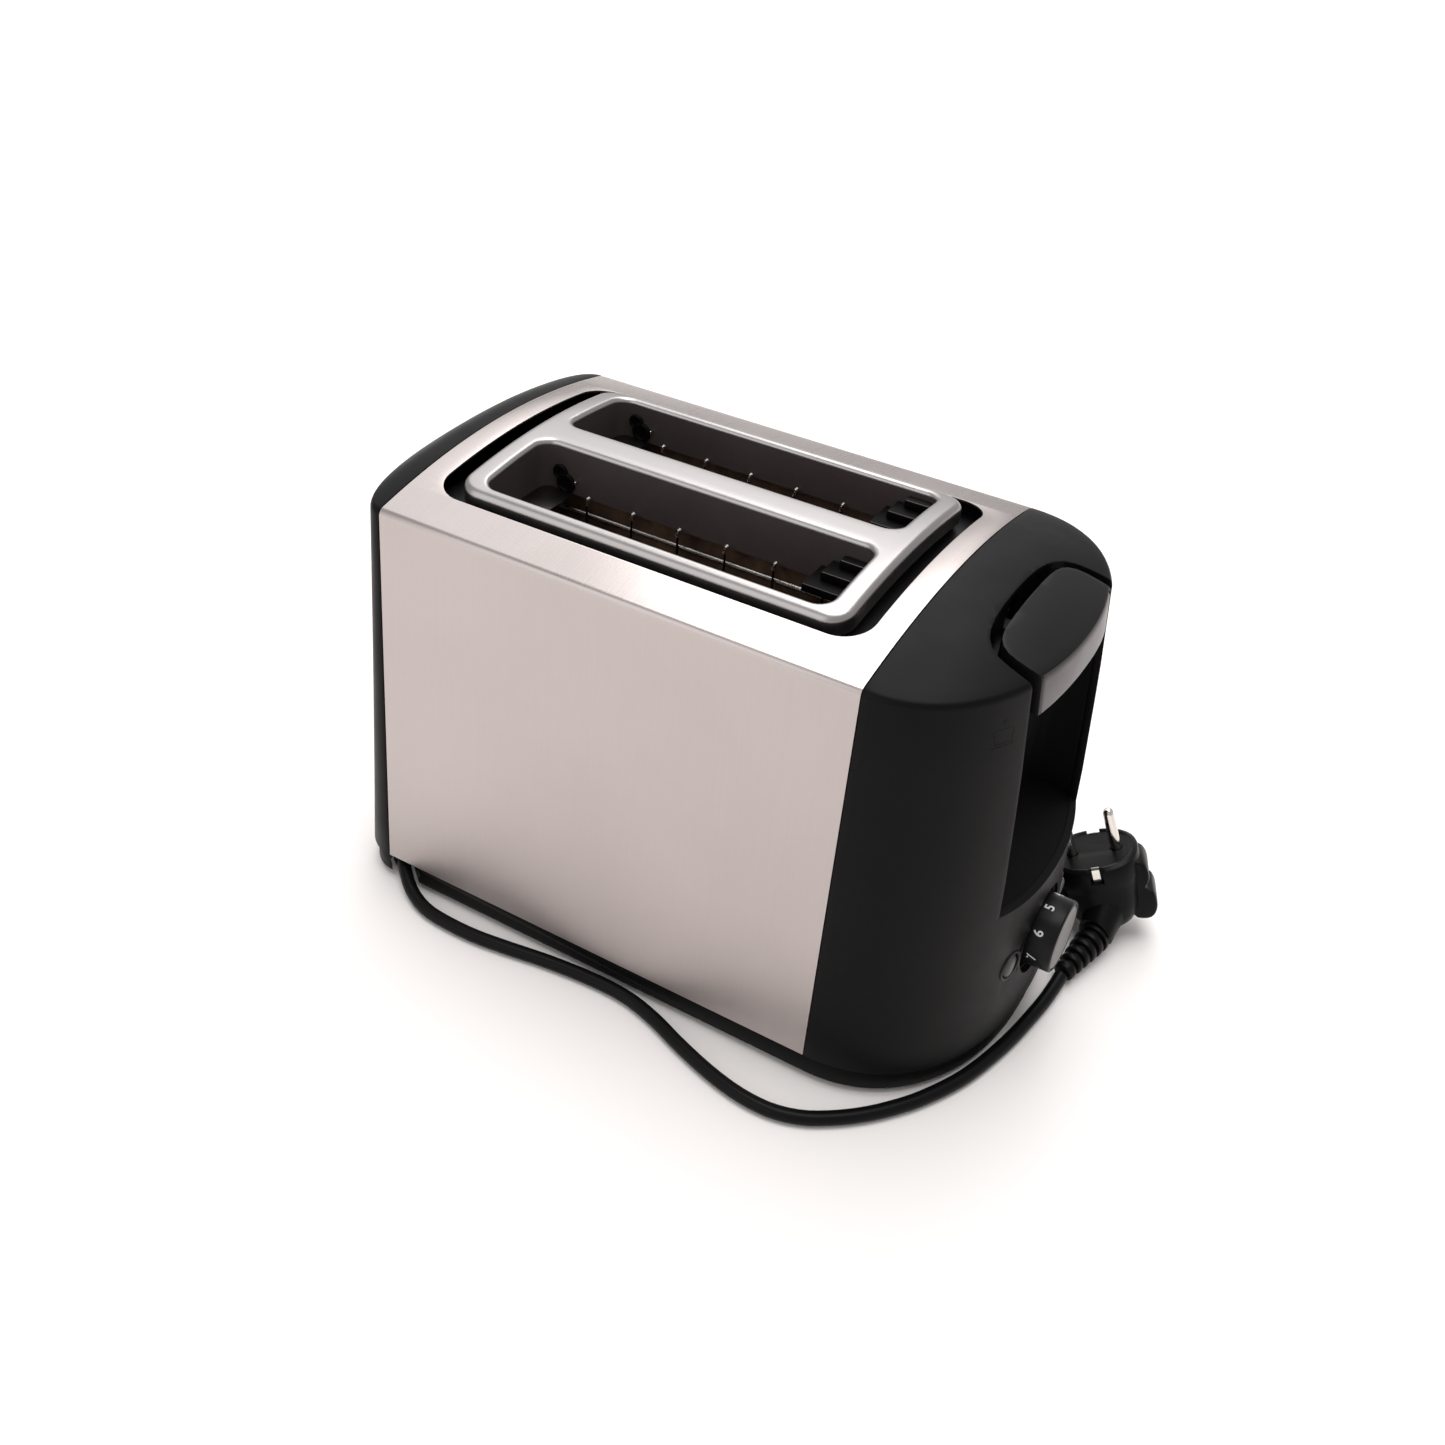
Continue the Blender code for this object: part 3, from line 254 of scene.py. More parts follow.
def half_width(z):
    return HALF_LOW + (HALF_TOP - HALF_LOW) * (z - SKIRT_TOP) / (CREASE - SKIRT_TOP)


def follow(table, z):
    if z <= table[0][0]:
        return table[0][1]
    for (z0, v0), (z1, v1) in zip(table, table[1:]):
        if z <= z1:
            return v0 + (v1 - v0) * (z - z0) / (z1 - z0)
    return table[-1][1]


def cap_ring(side, depth, half, behind=0.0, steps=64):
    start = side * HALF_LENGTH
    power = 2 / ROUNDNESS
    ring = [(start - side * behind, -half)] if behind else []
    for step in range(steps + 1):
        angle = -pi / 2 + pi * step / steps
        ring.append((start + side * depth * max(cos(angle), 0.0) ** power,
                     copysign(half * abs(sin(angle)) ** power, angle)))
    return ring + ([(start - side * behind, half)] if behind else [])


def cap_point(y, z, table=LEVER_DEPTH, proud=0.0):
    """World point on the lever end's outer face."""
    part = abs(y / half_width(z)) ** ROUNDNESS
    reach = follow(table, z) * (1 - part) ** (1 / ROUNDNESS)
    return Vector((MID + HALF_LENGTH + reach + proud, y, z))


def cap_solid(name, side, table, inset=0.0, behind=0.0, low=SKIRT_TOP, levels=10, steps=64, shift=0.0):
    """Outer shape of an end cap with its bend and domed roof, shrunk by inset."""
    rings = []
    bend_levels, roof_levels = 5, 13

    def ring_at(depth, half, z):
        return [(x + MID + shift, y, z) for x, y in cap_ring(side, depth, half, behind, steps)]

    for i in range(levels + 1):
        z = low + (BEND_Z - low) * i / levels
        rings.append(ring_at(follow(table, z) - inset, half_width(z) - inset,
                             z if i < levels else z - inset))
    top_depth, top_half = follow(table, BEND_Z) - inset, half_width(BEND_Z) - inset
    for i in range(1, bend_levels + 1):
        turn = BEND_TURN * i / bend_levels
        scale = 1 - BEND * (1 - cos(turn)) / HALF_TOP
        rings.append(ring_at(top_depth * scale, top_half * scale, BEND_Z - inset + BEND * sin(turn)))
    last = 1 - BEND * (1 - cos(BEND_TURN)) / HALF_TOP
    for i in range(1, roof_levels):
        scale = last * (1 - i / roof_levels) + 0.02
        rings.append(ring_at(top_depth * scale, top_half * scale, CREASE - inset + RISE * (1 - scale ** 2)))
    return loft(name, rings)


def cap_hollow(side, table):
    return cap_solid("hollow", side, table, inset=CAP_WALL, behind=0.004, low=SKIRT_TOP - 0.004,
                     levels=5, steps=40)


def lever_end_limit(inset, **shape):
    """What a piece of the lever end is cut to, so that it follows the cap's outer face."""
    return cap_solid("limit", 1, LEVER_DEPTH, inset=inset, levels=5, **shape)


# ---------------------------------------------------------------- materials
class Paint:
    """A Principled material, with object-space noise for its colour, roughness and bump."""

    def __init__(self, name, colour, roughness, metallic=0.0, **fixed):
        self.mat = bpy.data.materials.new(name)
        self.mat.use_nodes = True
        self.tree = self.mat.node_tree
        self.shader = self.tree.nodes["Principled BSDF"]
        self.shader.inputs["Base Color"].default_value = (*colour, 1)
        self.shader.inputs["Roughness"].default_value = roughness
        self.shader.inputs["Metallic"].default_value = metallic
        for key, value in fixed.items():
            self.shader.inputs[key.replace("_", " ")].default_value = value
        self.where = self.node("ShaderNodeTexCoord").outputs["Object"]
        self.normal = None

    def node(self, kind, **settings):
        made_node = self.tree.nodes.new(kind)
        for key, value in settings.items():
            setattr(made_node, key, value)
        return made_node

    def wire(self, source, target):
        self.tree.links.new(source, target)

    def stretch(self, scale):
        mapping = self.node("ShaderNodeMapping")
        mapping.inputs["Scale"].default_value = scale
        self.wire(self.where, mapping.inputs["Vector"])
        return mapping.outputs["Vector"]

    def noise(self, scale, detail=2.0, rough=0.5, stretch=None):
        texture = self.node("ShaderNodeTexNoise")
        texture.inputs["Scale"].default_value = scale
        texture.inputs["Detail"].default_value = detail
        texture.inputs["Roughness"].default_value = rough
        self.wire(self.stretch(stretch) if stretch else self.where, texture.inputs["Vector"])
        return texture.outputs["Fac"]

    def range(self, value, low, high, from_low=0.0, from_high=1.0):
        mapped = self.node("ShaderNodeMapRange")
        for key, number in zip(("From Min", "From Max", "To Min", "To Max"),
                               (from_low, from_high, low, high)):
            mapped.inputs[key].default_value = number
        self.wire(value, mapped.inputs["Value"])
        return mapped.outputs["Result"]

    def math(self, operation, a, b):
        sums = self.node("ShaderNodeMath", operation=operation)
        for socket, value in zip(sums.inputs, (a, b)):
            if isinstance(value, (int, float)):
                socket.default_value = value
            else:
                self.wire(value, socket)
        return sums.outputs["Value"]

    def tint(self, value, low, high, from_low=0.3, from_high=0.7):
        """Base colour runs from low to high with a value."""
        ramp = self.node("ShaderNodeValToRGB")
        first, last = ramp.color_ramp.elements
        first.position, last.position = from_low, from_high
        first.color, last.color = (*low, 1), (*high, 1)
        self.wire(value, ramp.inputs["Fac"])
        self.wire(ramp.outputs["Color"], self.shader.inputs["Base Color"])
        return self

    def rough(self, value, low, high, from_low=0.3, from_high=0.7):
        self.wire(self.range(value, low, high, from_low, from_high), self.shader.inputs["Roughness"])
        return self

    def bump(self, value, distance, strength=1.0):
        node = self.node("ShaderNodeBump")
        node.inputs["Strength"].default_value = strength
        node.inputs["Distance"].default_value = distance
        self.wire(value, node.inputs["Height"])
        if self.normal:
            self.wire(self.normal, node.inputs["Normal"])
        self.normal = node.outputs["Normal"]
        self.wire(self.normal, self.shader.inputs["Normal"])
        return self


def shades(colour, low, high):
    return tuple(c * low for c in colour), tuple(min(c * high, 1.0) for c in colour)


def brushed(name, colour, roughness, lines, smudge=0.06, depth=0.000012, **fixed):
    """Sheet metal brushed along Y and Z, so the fine lines follow the bend over the roof."""
    paint = Paint(name, colour, roughness, 1.0, **fixed)
    fine = paint.noise(1.0, 4.0, 0.7, stretch=(lines, lines / 120, lines / 120))
    cloud = paint.noise(16.0, 4.0, 0.6)
    broad = paint.noise(5.0, 2.0, 0.5)
    mixed = paint.math("ADD", paint.math("MULTIPLY", fine, 0.30),
                       paint.math("MULTIPLY", cloud, 0.35))
    mixed = paint.math("ADD", mixed, paint.math("MULTIPLY", broad, 0.35))
    low, high = shades(colour, 1 - smudge, 1 + smudge)
    paint.tint(mixed, low, high, 0.40, 0.60)
    height = paint.node("ShaderNodeSeparateXYZ")
    paint.wire(paint.where, height.inputs["Vector"])
    finer = paint.range(height.outputs["Z"], 0.0, 0.15, CREASE - 0.004, CREASE + 0.001)
    uneven = paint.range(mixed, roughness - 0.03, roughness + 0.05, 0.38, 0.62)
    paint.wire(paint.math("SUBTRACT", uneven, finer), paint.shader.inputs["Roughness"])
    return paint.bump(fine, depth, 0.30).mat


def moulded(name, colour, roughness, grain=2600.0, depth=0.00003, **fixed):
    """Injection-moulded plastic with a fine spark texture and faint handling marks."""
    paint = Paint(name, colour, roughness, **fixed)
    cloud = paint.noise(22.0, 4.0, 0.6)
    low, high = shades(colour, 0.90, 1.12)
    paint.tint(cloud, low, high, 0.35, 0.68)
    paint.rough(paint.noise(60.0, 3.0), roughness - 0.02, roughness + 0.03, 0.35, 0.65)
    return paint.bump(paint.noise(grain, 2.0, 0.6), depth, 0.4).mat


def plated(name, colour, roughness, change=0.10, **fixed):
    """Smooth bare or plated metal with a slightly uneven sheen."""
    paint = Paint(name, colour, roughness, 1.0, **fixed)
    low, high = shades(colour, 1 - change, 1 + change / 2)
    paint.tint(paint.noise(60.0, 3.0), low, high)
    paint.rough(paint.noise(90.0, 2.0), roughness - change / 4, roughness + change / 2)
    return paint.bump(paint.noise(900.0, 2.0), 0.0001 * change, 0.3).mat


STEEL = brushed("brushed_steel", (0.490, 0.440, 0.426), 0.42, 2600.0, 0.045)
BRIGHT = plated("bright_steel", (0.400, 0.380, 0.375), 0.31, 0.03)
ZINC = plated("zinc_sheet", (0.30, 0.28, 0.27), 0.42)
# dark sheet for the chutes; on the lever arm it is painted shade
DARK_SHEET_AND_SHADE = moulded("chute_sheet_and_painted_shade", (0.085, 0.068, 0.066), 0.42, 1600.0, 0.00001, Metallic=0.35)
WIRE = plated("wire", (0.86, 0.82, 0.78), 0.20)
# grey sheet for the slot-end shelves; also thin painted highlights along the ledges' edges
LEDGE_AND_GLINT = plated("ledge_sheet_and_glint", (0.070, 0.060, 0.058), 0.34)
# painted shade: near-black wire for the guards' uprights, which are the same wire as the bright hooks
SHADED_WIRE = plated("painted_shade_wire", (0.030, 0.024, 0.022), 0.40)
NICKEL = plated("nickel", (0.74, 0.71, 0.66), 0.16)
COPPER = plated("copper", (0.55, 0.26, 0.14), 0.38)
BLACK = moulded("matte_black", (0.0034, 0.0031, 0.0032), 0.42, 2400.0, 0.00003, Specular_IOR_Level=0.085)
SATIN = moulded("satin_black", (0.0050, 0.0048, 0.0051), 0.36, 3800.0, 0.00002, Specular_IOR_Level=0.16)
DECK = moulded("deck_black", (0.012, 0.011, 0.012), 0.45, Specular_IOR_Level=0.25)
BUTTON = moulded("button_grey", (0.060, 0.056, 0.056), 0.45, 3600.0, 0.00002, Metallic=0.2)
# painted shade: near-black paint, darker than the caps, for the lever recess, the dial's well and the
# slot-end bores and ledges, where shade falls
SHADE_BLACK = moulded("painted_shade_black", (0.0022, 0.0020, 0.0022), 0.55, Specular_IOR_Level=0.08)
GREY = moulded("gunmetal", (0.085, 0.075, 0.075), 0.36, 3600.0, 0.00002, Metallic=0.55)
SILVER = moulded("silver_plastic", (0.13, 0.122, 0.120), 0.40, 3600.0, 0.00002, Metallic=0.25)
PVC = moulded("black_pvc", (0.0040, 0.0039, 0.0040), 0.34, 1500.0, 0.00003, Specular_IOR_Level=0.10)
RUBBER = moulded("rubber", (0.010, 0.010, 0.010), 0.75)
WHITE = moulded("white_plastic", (0.62, 0.60, 0.56), 0.48)
BOARD = moulded("board", (0.06, 0.14, 0.05), 0.45)
INK = moulded("white_ink", (0.62, 0.62, 0.60), 0.50)
# painted highlight and painted shade for the lift icon's grooves
GROOVE_HIGHLIGHT = moulded("painted_groove_highlight", (0.030, 0.029, 0.030), 0.40)
GROOVE_SHADE = moulded("painted_groove_shade", (0.0015, 0.0015, 0.0015), 0.40, Specular_IOR_Level=0.05)


def mica_paint():
    paint = Paint("mica", (0.18, 0.10, 0.06), 0.42)
    flakes = paint.noise(60.0, 5.0, 0.65)
    paint.tint(flakes, (0.060, 0.036, 0.026), (0.19, 0.115, 0.075), 0.36, 0.66)
    paint.rough(paint.noise(140.0, 3.0), 0.28, 0.55)
    return paint.bump(flakes, 0.0002, 0.5).mat


def ribbon_paint():
    paint = Paint("heater_ribbon", (0.20, 0.16, 0.14), 0.45, 0.9)
    paint.tint(paint.noise(200.0, 3.0), (0.10, 0.075, 0.065), (0.30, 0.25, 0.22))
    return paint.bump(paint.noise(700.0), 0.00003, 0.4).mat


MICA, RIBBON = mica_paint(), ribbon_paint()


def dress(obj, mat, body="housing", replaces=()):
    """Give a finished piece its material and body, and hide its CAD stand-ins."""
    obj.data.materials.clear()
    obj.data.materials.append(mat)
    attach(obj, body)
    if replaces:
        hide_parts(*replaces)
    return obj


def paint_node(name, mat):
    obj = NODES[name]
    if not obj.material_slots:
        obj.data.materials.append(mat)
    for place in obj.material_slots:
        place.link = "OBJECT"
        place.material = mat


# ---------------------------------------------------------------- mains lead
CORD_ROUTE = [
    (-0.0992, -0.0798, 0.0080), (-0.0935, -0.0848, 0.0066), (-0.0870, -0.0895, 0.0046),
    (-0.0780, -0.0935, 0.0033), (-0.0680, -0.0955, 0.0031), (-0.0500, -0.0958, 0.0031),
    (-0.0320, -0.0935, 0.0031), (-0.0140, -0.0905, 0.0031), (0.0060, -0.0885, 0.0031),
    (0.0240, -0.0887, 0.0031), (0.0400, -0.0925, 0.0031), (0.0570, -0.0990, 0.0031),
    (0.0740, -0.1045, 0.0031), (0.0890, -0.1075, 0.0031), (0.1025, -0.1075, 0.0031),
    (0.1140, -0.1040, 0.0031), (0.1240, -0.0975, 0.0031), (0.1335, -0.0890, 0.0031),
    (0.1420, -0.0790, 0.0031), (0.1500, -0.0670, 0.0031), (0.1590, -0.0480, 0.0031),
    (0.1660, -0.0220, 0.0031), (0.1700, 0.0040, 0.0033), (0.1712, 0.0180, 0.0040),
    (0.1715, 0.0250, 0.0049),
]
CORD_RADIUS = 0.0030
CORD_STEP = 0.0040
CORD_EXIT = Vector((-0.0995, -0.0795, 0.0080))
CORD_OUT = Vector((0.76, -0.65, -0.05)).normalized()
RELIEF_START = Vector((0.1763, 0.0525, 0.0090))
RELIEF_END = Vector((0.1716, 0.0265, 0.0053))
PLUG_FACE = Vector((0.1427, 0.0759, 0.0352))
PLUG_OUT = Vector((-0.404, 0.0, 0.915)).normalized()
PLUG_ROW = Vector((0.857, 0.352, 0.378))
PLUG_ROW = (PLUG_ROW - PLUG_OUT * PLUG_ROW.dot(PLUG_OUT)).normalized()
PLUG_ACROSS = PLUG_OUT.cross(PLUG_ROW)
PLUG_TURN = Matrix((PLUG_ROW, PLUG_ACROSS, PLUG_OUT)).transposed()
PLUG_PLACE = Matrix.Translation(PLUG_FACE) @ PLUG_TURN.to_4x4()
PIN_HALF = 0.0095                  # half the distance between the pins
PIN_LENGTH = 0.019
PIN_ROOT = -0.0056                 # how far the pins reach into the face
SHIFT = Vector((MID, 0, 0))


def smooth_route(route, step):
    """Even points along a Catmull-Rom curve through the route, and its length."""
    points = [Vector(p) for p in route]
    points = [2 * points[0] - points[1]] + points + [2 * points[-1] - points[-2]]
    fine = []
    for a, b, c, d in zip(points, points[1:], points[2:], points[3:]):
        for i in range(12):
            t = i / 12
            fine.append(0.5 * ((2 * b) + (c - a) * t + (2 * a - 5 * b + 4 * c - d) * t ** 2
                               + (3 * b - a - 3 * c + d) * t ** 3))
    fine.append(points[-2])
    total = sum((b - a).length for a, b in zip(fine, fine[1:]))
    count = round(total / step)
    out, walked, index = [fine[0]], 0.0, 0
    for k in range(1, count):
        goal = total * k / count
        while walked + (fine[index + 1] - fine[index]).length < goal:
            walked += (fine[index + 1] - fine[index]).length
            index += 1
        span = fine[index + 1] - fine[index]
        out.append(fine[index] + span * ((goal - walked) / span.length))
    return out + [fine[-1]], total


def mains_cord():
    points, length = smooth_route([Vector(p) + SHIFT for p in CORD_ROUTE], CORD_STEP)
    cord = tubes("mains_cord", [points], CORD_RADIUS, 6)
    cord.data.splines[0].use_smooth = True
    return dress(cord, PVC, replaces=["cord"]), points, length


def ribbed(name, start, end, first, last, ribs, tail, neck=0.0012, segments=32):
    """Strain relief: a tapered sleeve with round ribs, from a wide foot to the lead."""
    along = end - start
    length = along.length
    profile = [(0.0, length), (CORD_RADIUS + 0.0006, length), (last, length - 0.0006)]
    pitch = (length - tail) / ribs
    for k in range(ribs):
        top = length - 0.0012 - k * pitch
        outer = last + (first - last) * (k + 0.5) / ribs
        profile += [(outer - 0.0003, top), (outer, top - pitch * 0.12), (outer, top - pitch * 0.50),
                    (outer - 0.0003, top - pitch * 0.62), (outer - neck, top - pitch * 0.68),
                    (outer - neck, top - pitch * 0.95)]
    profile += [(first, tail * 0.6), (first, 0.0), (0.0, 0.0)]
    return lathe(name, profile, start, along, segments)


def plug_ring(half_x, half_y, shift_y, z, power=0.85, steps=64):
    ring = []
    for i in range(steps):
        c, s = cos(tau * i / steps), sin(tau * i / steps)
        ring.append(PLUG_PLACE @ Vector((half_x * copysign(abs(c) ** power, c),
                                         half_y * copysign(abs(s) ** power, s) + shift_y, z)))
    return ring


def plug_block(name, low, high):
    (x0, y0, z0), (x1, y1, z1) = low, high
    return loft(name, [[PLUG_PLACE @ Vector((x, y, z)) for x, y in ((x0, y0), (x1, y0), (x1, y1), (x0, y1))]
                       for z in (z0, z1)])


def plug_rod(name, x, y, low, high, radius, segments=32):
    return lathe(name, [(0, high), (radius, high), (radius, low), (0, low)],
                 PLUG_PLACE @ Vector((x, y, 0)), PLUG_OUT, segments)


def cut_corners(outline):
    """Round a closed outline by one pass of corner cutting."""
    return [(share * a[0] + (1 - share) * b[0], share * a[1] + (1 - share) * b[1])
            for a, b in zip(outline, outline[1:] + outline[:1]) for share in (0.75, 0.25)]


def plug_wing(side, deep):
    """One grip of the plug; deep scales its reach towards the lead."""
    wing = [(0.0120, -0.0030), (0.0185, -0.0035), (0.0212, -0.0070), (0.0212, -0.0140),
            (0.0186, -0.0160), (0.0190, -0.0185), (0.0222, -0.0200), (0.0220, -0.0290),
            (0.0180, -0.0340), (0.0090, -0.0310)]
    wing = cut_corners(cut_corners(wing))
    slices = ((-0.0104, 0.90), (-0.0098, 0.97), (-0.0086, 1.0), (0.0062, 1.0), (0.0074, 0.97),
              (0.0080, 0.90))
    root, level = 0.012, 0.016
    return loft("ear", [
        [PLUG_PLACE @ Vector((side * (root + (x - root) * grow), y, (z * grow - level * (1 - grow)) * deep))
         for x, z in wing] for y, grow in slices])


def plug():
    """Round earthed plug: face with a rim, grips on both sides and a body that leans to the lead."""
    # half length, half width, shift and height of each ring, from the face to the back
    sections = [
        (0.0150, 0.0150, 0.0, -0.0008), (0.0153, 0.0153, 0.0, -0.0008),
        (0.0158, 0.0158, 0.0, -0.0002), (0.0166, 0.0166, 0.0, 0.0),
        (0.0174, 0.0174, 0.0, -0.0003), (0.0184, 0.0184, 0.0, -0.0012),
        (0.0188, 0.0188, 0.0, -0.0026), (0.0189, 0.0189, 0.0, -0.0090),
        (0.0185, 0.0186, 0.0, -0.0105), (0.0175, 0.0179, -0.0008, -0.0125),
        (0.0166, 0.0172, -0.0018, -0.0165), (0.0157, 0.0164, -0.0030, -0.0215),
        (0.0144, 0.0152, -0.0042, -0.0260), (0.0122, 0.0135, -0.0051, -0.0292),
        (0.0090, 0.0108, -0.0058, -0.0312)]
    body = loft("plug", [plug_ring(*section) for section in sections][::-1])
    neck = PLUG_PLACE @ Vector((0.0, -0.012, -0.0230))
    along = (RELIEF_START + SHIFT) - neck
    sleeve = lathe("neck", [(0, along.length), (0.0074, along.length), (0.0080, along.length * 0.6),
                            (0.0092, along.length * 0.2), (0.0095, 0), (0, 0)], neck, along, 40)
    body = combine(body, "UNION", sleeve)
    body = combine(body, "UNION", plug_wing(-1, 0.78), plug_wing(1, 1.0))
    cuts = [plug_rod("socket", side * PIN_HALF, 0, -0.0058, 0.004, 0.0028) for side in (-1, 1)]
    for side in (-1, 1):
        near, far = sorted((side * 0.0152, side * 0.0220))
        cuts.append(plug_block("clip", (-0.0028, near, -0.0070), (0.0028, far, 0.0040)))
    direction = (RELIEF_END - RELIEF_START).normalized()
    cuts.append(lathe("seat", [(0, 0.016), (0.013, 0.016), (0.013, 0), (0, 0)],
                      RELIEF_START + SHIFT, direction))
    body = soften(combine(body, "DIFFERENCE", *cuts), 0.0008, 3, 38)
    dress(body, PVC, replaces=["plug_body"])
    profile = [(0, PIN_LENGTH), (0.0010, PIN_LENGTH - 0.0001), (0.0018, PIN_LENGTH - 0.0006),
               (0.0023, PIN_LENGTH - 0.0016), (0.0024, PIN_LENGTH - 0.0028), (0.0024, PIN_ROOT),
               (0, PIN_ROOT)]
    pins = [lathe("pin", profile, PLUG_PLACE @ Vector((side * PIN_HALF, 0, 0)), PLUG_OUT, 32)
            for side in (-1, 1)]
    pins = dress(join("plug_pin_pair", *pins), NICKEL, replaces=["plug_pins"])
    clips = []
    for side in (-1, 1):
        y = side * 0.0163
        path = [(y, -0.0068), (y, -0.0030), (y - side * 0.0003, -0.0012), (y - side * 0.0012, -0.0005)]
        corners = ((-0.0016, 0), (0.0016, 0), (0.0016, -0.0006), (-0.0016, -0.0006))
        clips.append(loft("clip", [[PLUG_PLACE @ Vector((x, across + side * t, out)) for x, t in corners]
                                   for across, out in path]))
    clips = dress(join("earth_clips", *clips), NICKEL, replaces=["earth_contacts"])
    relief = ribbed("plug_strain_relief", RELIEF_START + SHIFT + direction * GAP, RELIEF_END + SHIFT,
                    0.0069, 0.0043, 5, 0.0030)
    dress(relief, PVC, replaces=["plug_relief"])
    return body, pins, clips, relief


cord_piece, cord_points, cord_length = mains_cord()
plug_pieces = plug()
gland = ribbed("cord_strain_relief", CORD_EXIT + SHIFT - CORD_OUT * 0.0223,
               CORD_EXIT + SHIFT - CORD_OUT * GAP, 0.0048, 0.0037, 4, 0.0050, 0.0009)
dress(gland, PVC, replaces=["cord_gland"])


# ---------------------------------------------------------------- housing
def sheet_section(offset):
    """One side of the bent sheet, from the skirt over the bend to the roof's middle."""
    centre_y = half_width(BEND_Z) - BEND
    points = [(HALF_LOW - offset, SKIRT_TOP)]
    points += [(half_width(z) - offset, z) for z in (0.07, 0.13)]
    points += [(centre_y + (BEND - offset) * cos(BEND_TURN * i / 8),
                BEND_Z + (BEND - offset) * sin(BEND_TURN * i / 8)) for i in range(9)]
    start = points[-1][0]
    points += [(start * (1 - i / 24), roof(start * (1 - i / 24)) - offset) for i in range(1, 25)]
    return points


def sleeve():
    outer, inner = sheet_section(0.0), sheet_section(SHEET)
    outer += [(-y, z) for y, z in outer[-2::-1]]
    inner += [(-y, z) for y, z in inner[-2::-1]]
    half = HALF_LENGTH - GAP / 2
    body = prism("steel_sleeve", outer + inner[::-1], -half, half, "YZ")
    hole = prism("hole", rounded(-0.0932, 0.0932, -0.0604, 0.0604, 0.013, 12), 0.183, 0.205)
    body = soften(combine(body, "DIFFERENCE", hole), 0.0004, 3, 45)
    return dress(body, STEEL, replaces=["outer_sleeve"])


FRAME_HALF, FRAME_WIDE, FRAME_CORNER = 0.0850, 0.0559, 0.0100
FRAME_TOP = 0.0027
SLOT_HALF, SLOT_NEAR, SLOT_FAR, SLOT_CORNER = 0.0750, 0.0080, 0.0503, 0.0065
CHUTE_LOW = 0.1752
SLOTS = (("front", -1), ("back", 1))


def slot_loop(side, outset):
    """Plan of one slot, grown by outset, with X from MID."""
    y0, y1 = sorted((side * (SLOT_NEAR - outset), side * (SLOT_FAR + outset)))
    return rounded(-SLOT_HALF - outset, SLOT_HALF + outset, y0, y1, SLOT_CORNER + outset, 8, (36, 8))


def slot_surround():
    """Pressed frame: a rolled outer rim, bands that follow the roof and a rounded lip at each slot."""
    rim, edge, step = 0.0031, 0.0023, 0.0036
    bm = bmesh.new()
    seam = []

    def run(loops):
        rings = [[bm.verts.new((x + MID, y, roof(y) + raised)) for x, y in loop]
                 for loop, raised in loops]
        for a, b in zip(rings, rings[1:]):
            for i in range(len(a)):
                bm.faces.new((a[i], a[(i + 1) % len(a)], b[(i + 1) % len(a)], b[i]))
        seam.append(loops[-1][0])

    def outer(inset):
        return rounded(-FRAME_HALF + inset, FRAME_HALF - inset, -FRAME_WIDE + inset, FRAME_WIDE - inset,
                       FRAME_CORNER - inset, 8, (44, 26))

    turns = [pi / 2 * i / 8 for i in range(9)]
    run([(outer(0.0), -0.0055)]
        + [(outer(rim * (1 - cos(t))), FRAME_TOP - rim + rim * sin(t)) for t in turns])
    for side in (-1, 1):
        run([(slot_loop(side, edge * (1 - cos(t))), FRAME_TOP - edge + edge * sin(t)) for t in turns])

    def inside(x, y, loop_margin):
        def depth(x0, x1, y0, y1, r):
            dx = max(x0 + r - x, x - (x1 - r), 0.0)
            dy = max(y0 + r - y, y - (y1 - r), 0.0)
            if dx and dy:
                return r - hypot(dx, dy)
            return min(x - x0, x1 - x, y - y0, y1 - y)
        if depth(-FRAME_HALF + rim, FRAME_HALF - rim, -FRAME_WIDE + rim, FRAME_WIDE - rim,
                 FRAME_CORNER - rim) < loop_margin:
            return False
        for side in (-1, 1):
            y0, y1 = sorted((side * (SLOT_NEAR - edge), side * (SLOT_FAR + edge)))
            if depth(-SLOT_HALF - edge, SLOT_HALF + edge, y0, y1, SLOT_CORNER + edge) >= -loop_margin:
                return False
        return True

    coords, edges = [], []
    for loop in seam:
        first = len(coords)
        coords += [Vector(p) for p in loop]
        edges += [(first + i, first + (i + 1) % len(loop)) for i in range(len(loop))]
    for i in range(-28, 29):
        for j in range(-20, 21):
            x, y = i * step * 0.82, j * step * 0.78
            if inside(x, y, 0.0014):
                coords.append(Vector((x, y)))
    points, _, faces, *_ = delaunay_2d_cdt(coords, edges, [], 0, 1e-7)
    verts = [bm.verts.new((p.x + MID, p.y, roof(p.y) + FRAME_TOP)) for p in points]
    for face in faces:
        middle = sum((points[i] for i in face), Vector((0, 0))) / len(face)
        if inside(middle.x, middle.y, 0.0):
            bm.faces.new([verts[i] for i in face])
    bmesh.ops.remove_doubles(bm, verts=bm.verts, dist=SPECK)
    bmesh.ops.delete(bm, geom=[v for v in bm.verts if not v.link_faces], context="VERTS")
    obj = made("slot_surround", bm, 50)
    solid = obj.modifiers.new("thick", "SOLIDIFY")
    solid.thickness = 0.0007
    solid.offset = -1
    return dress(settle(obj, 50), BRIGHT, replaces=["slot_frame"])


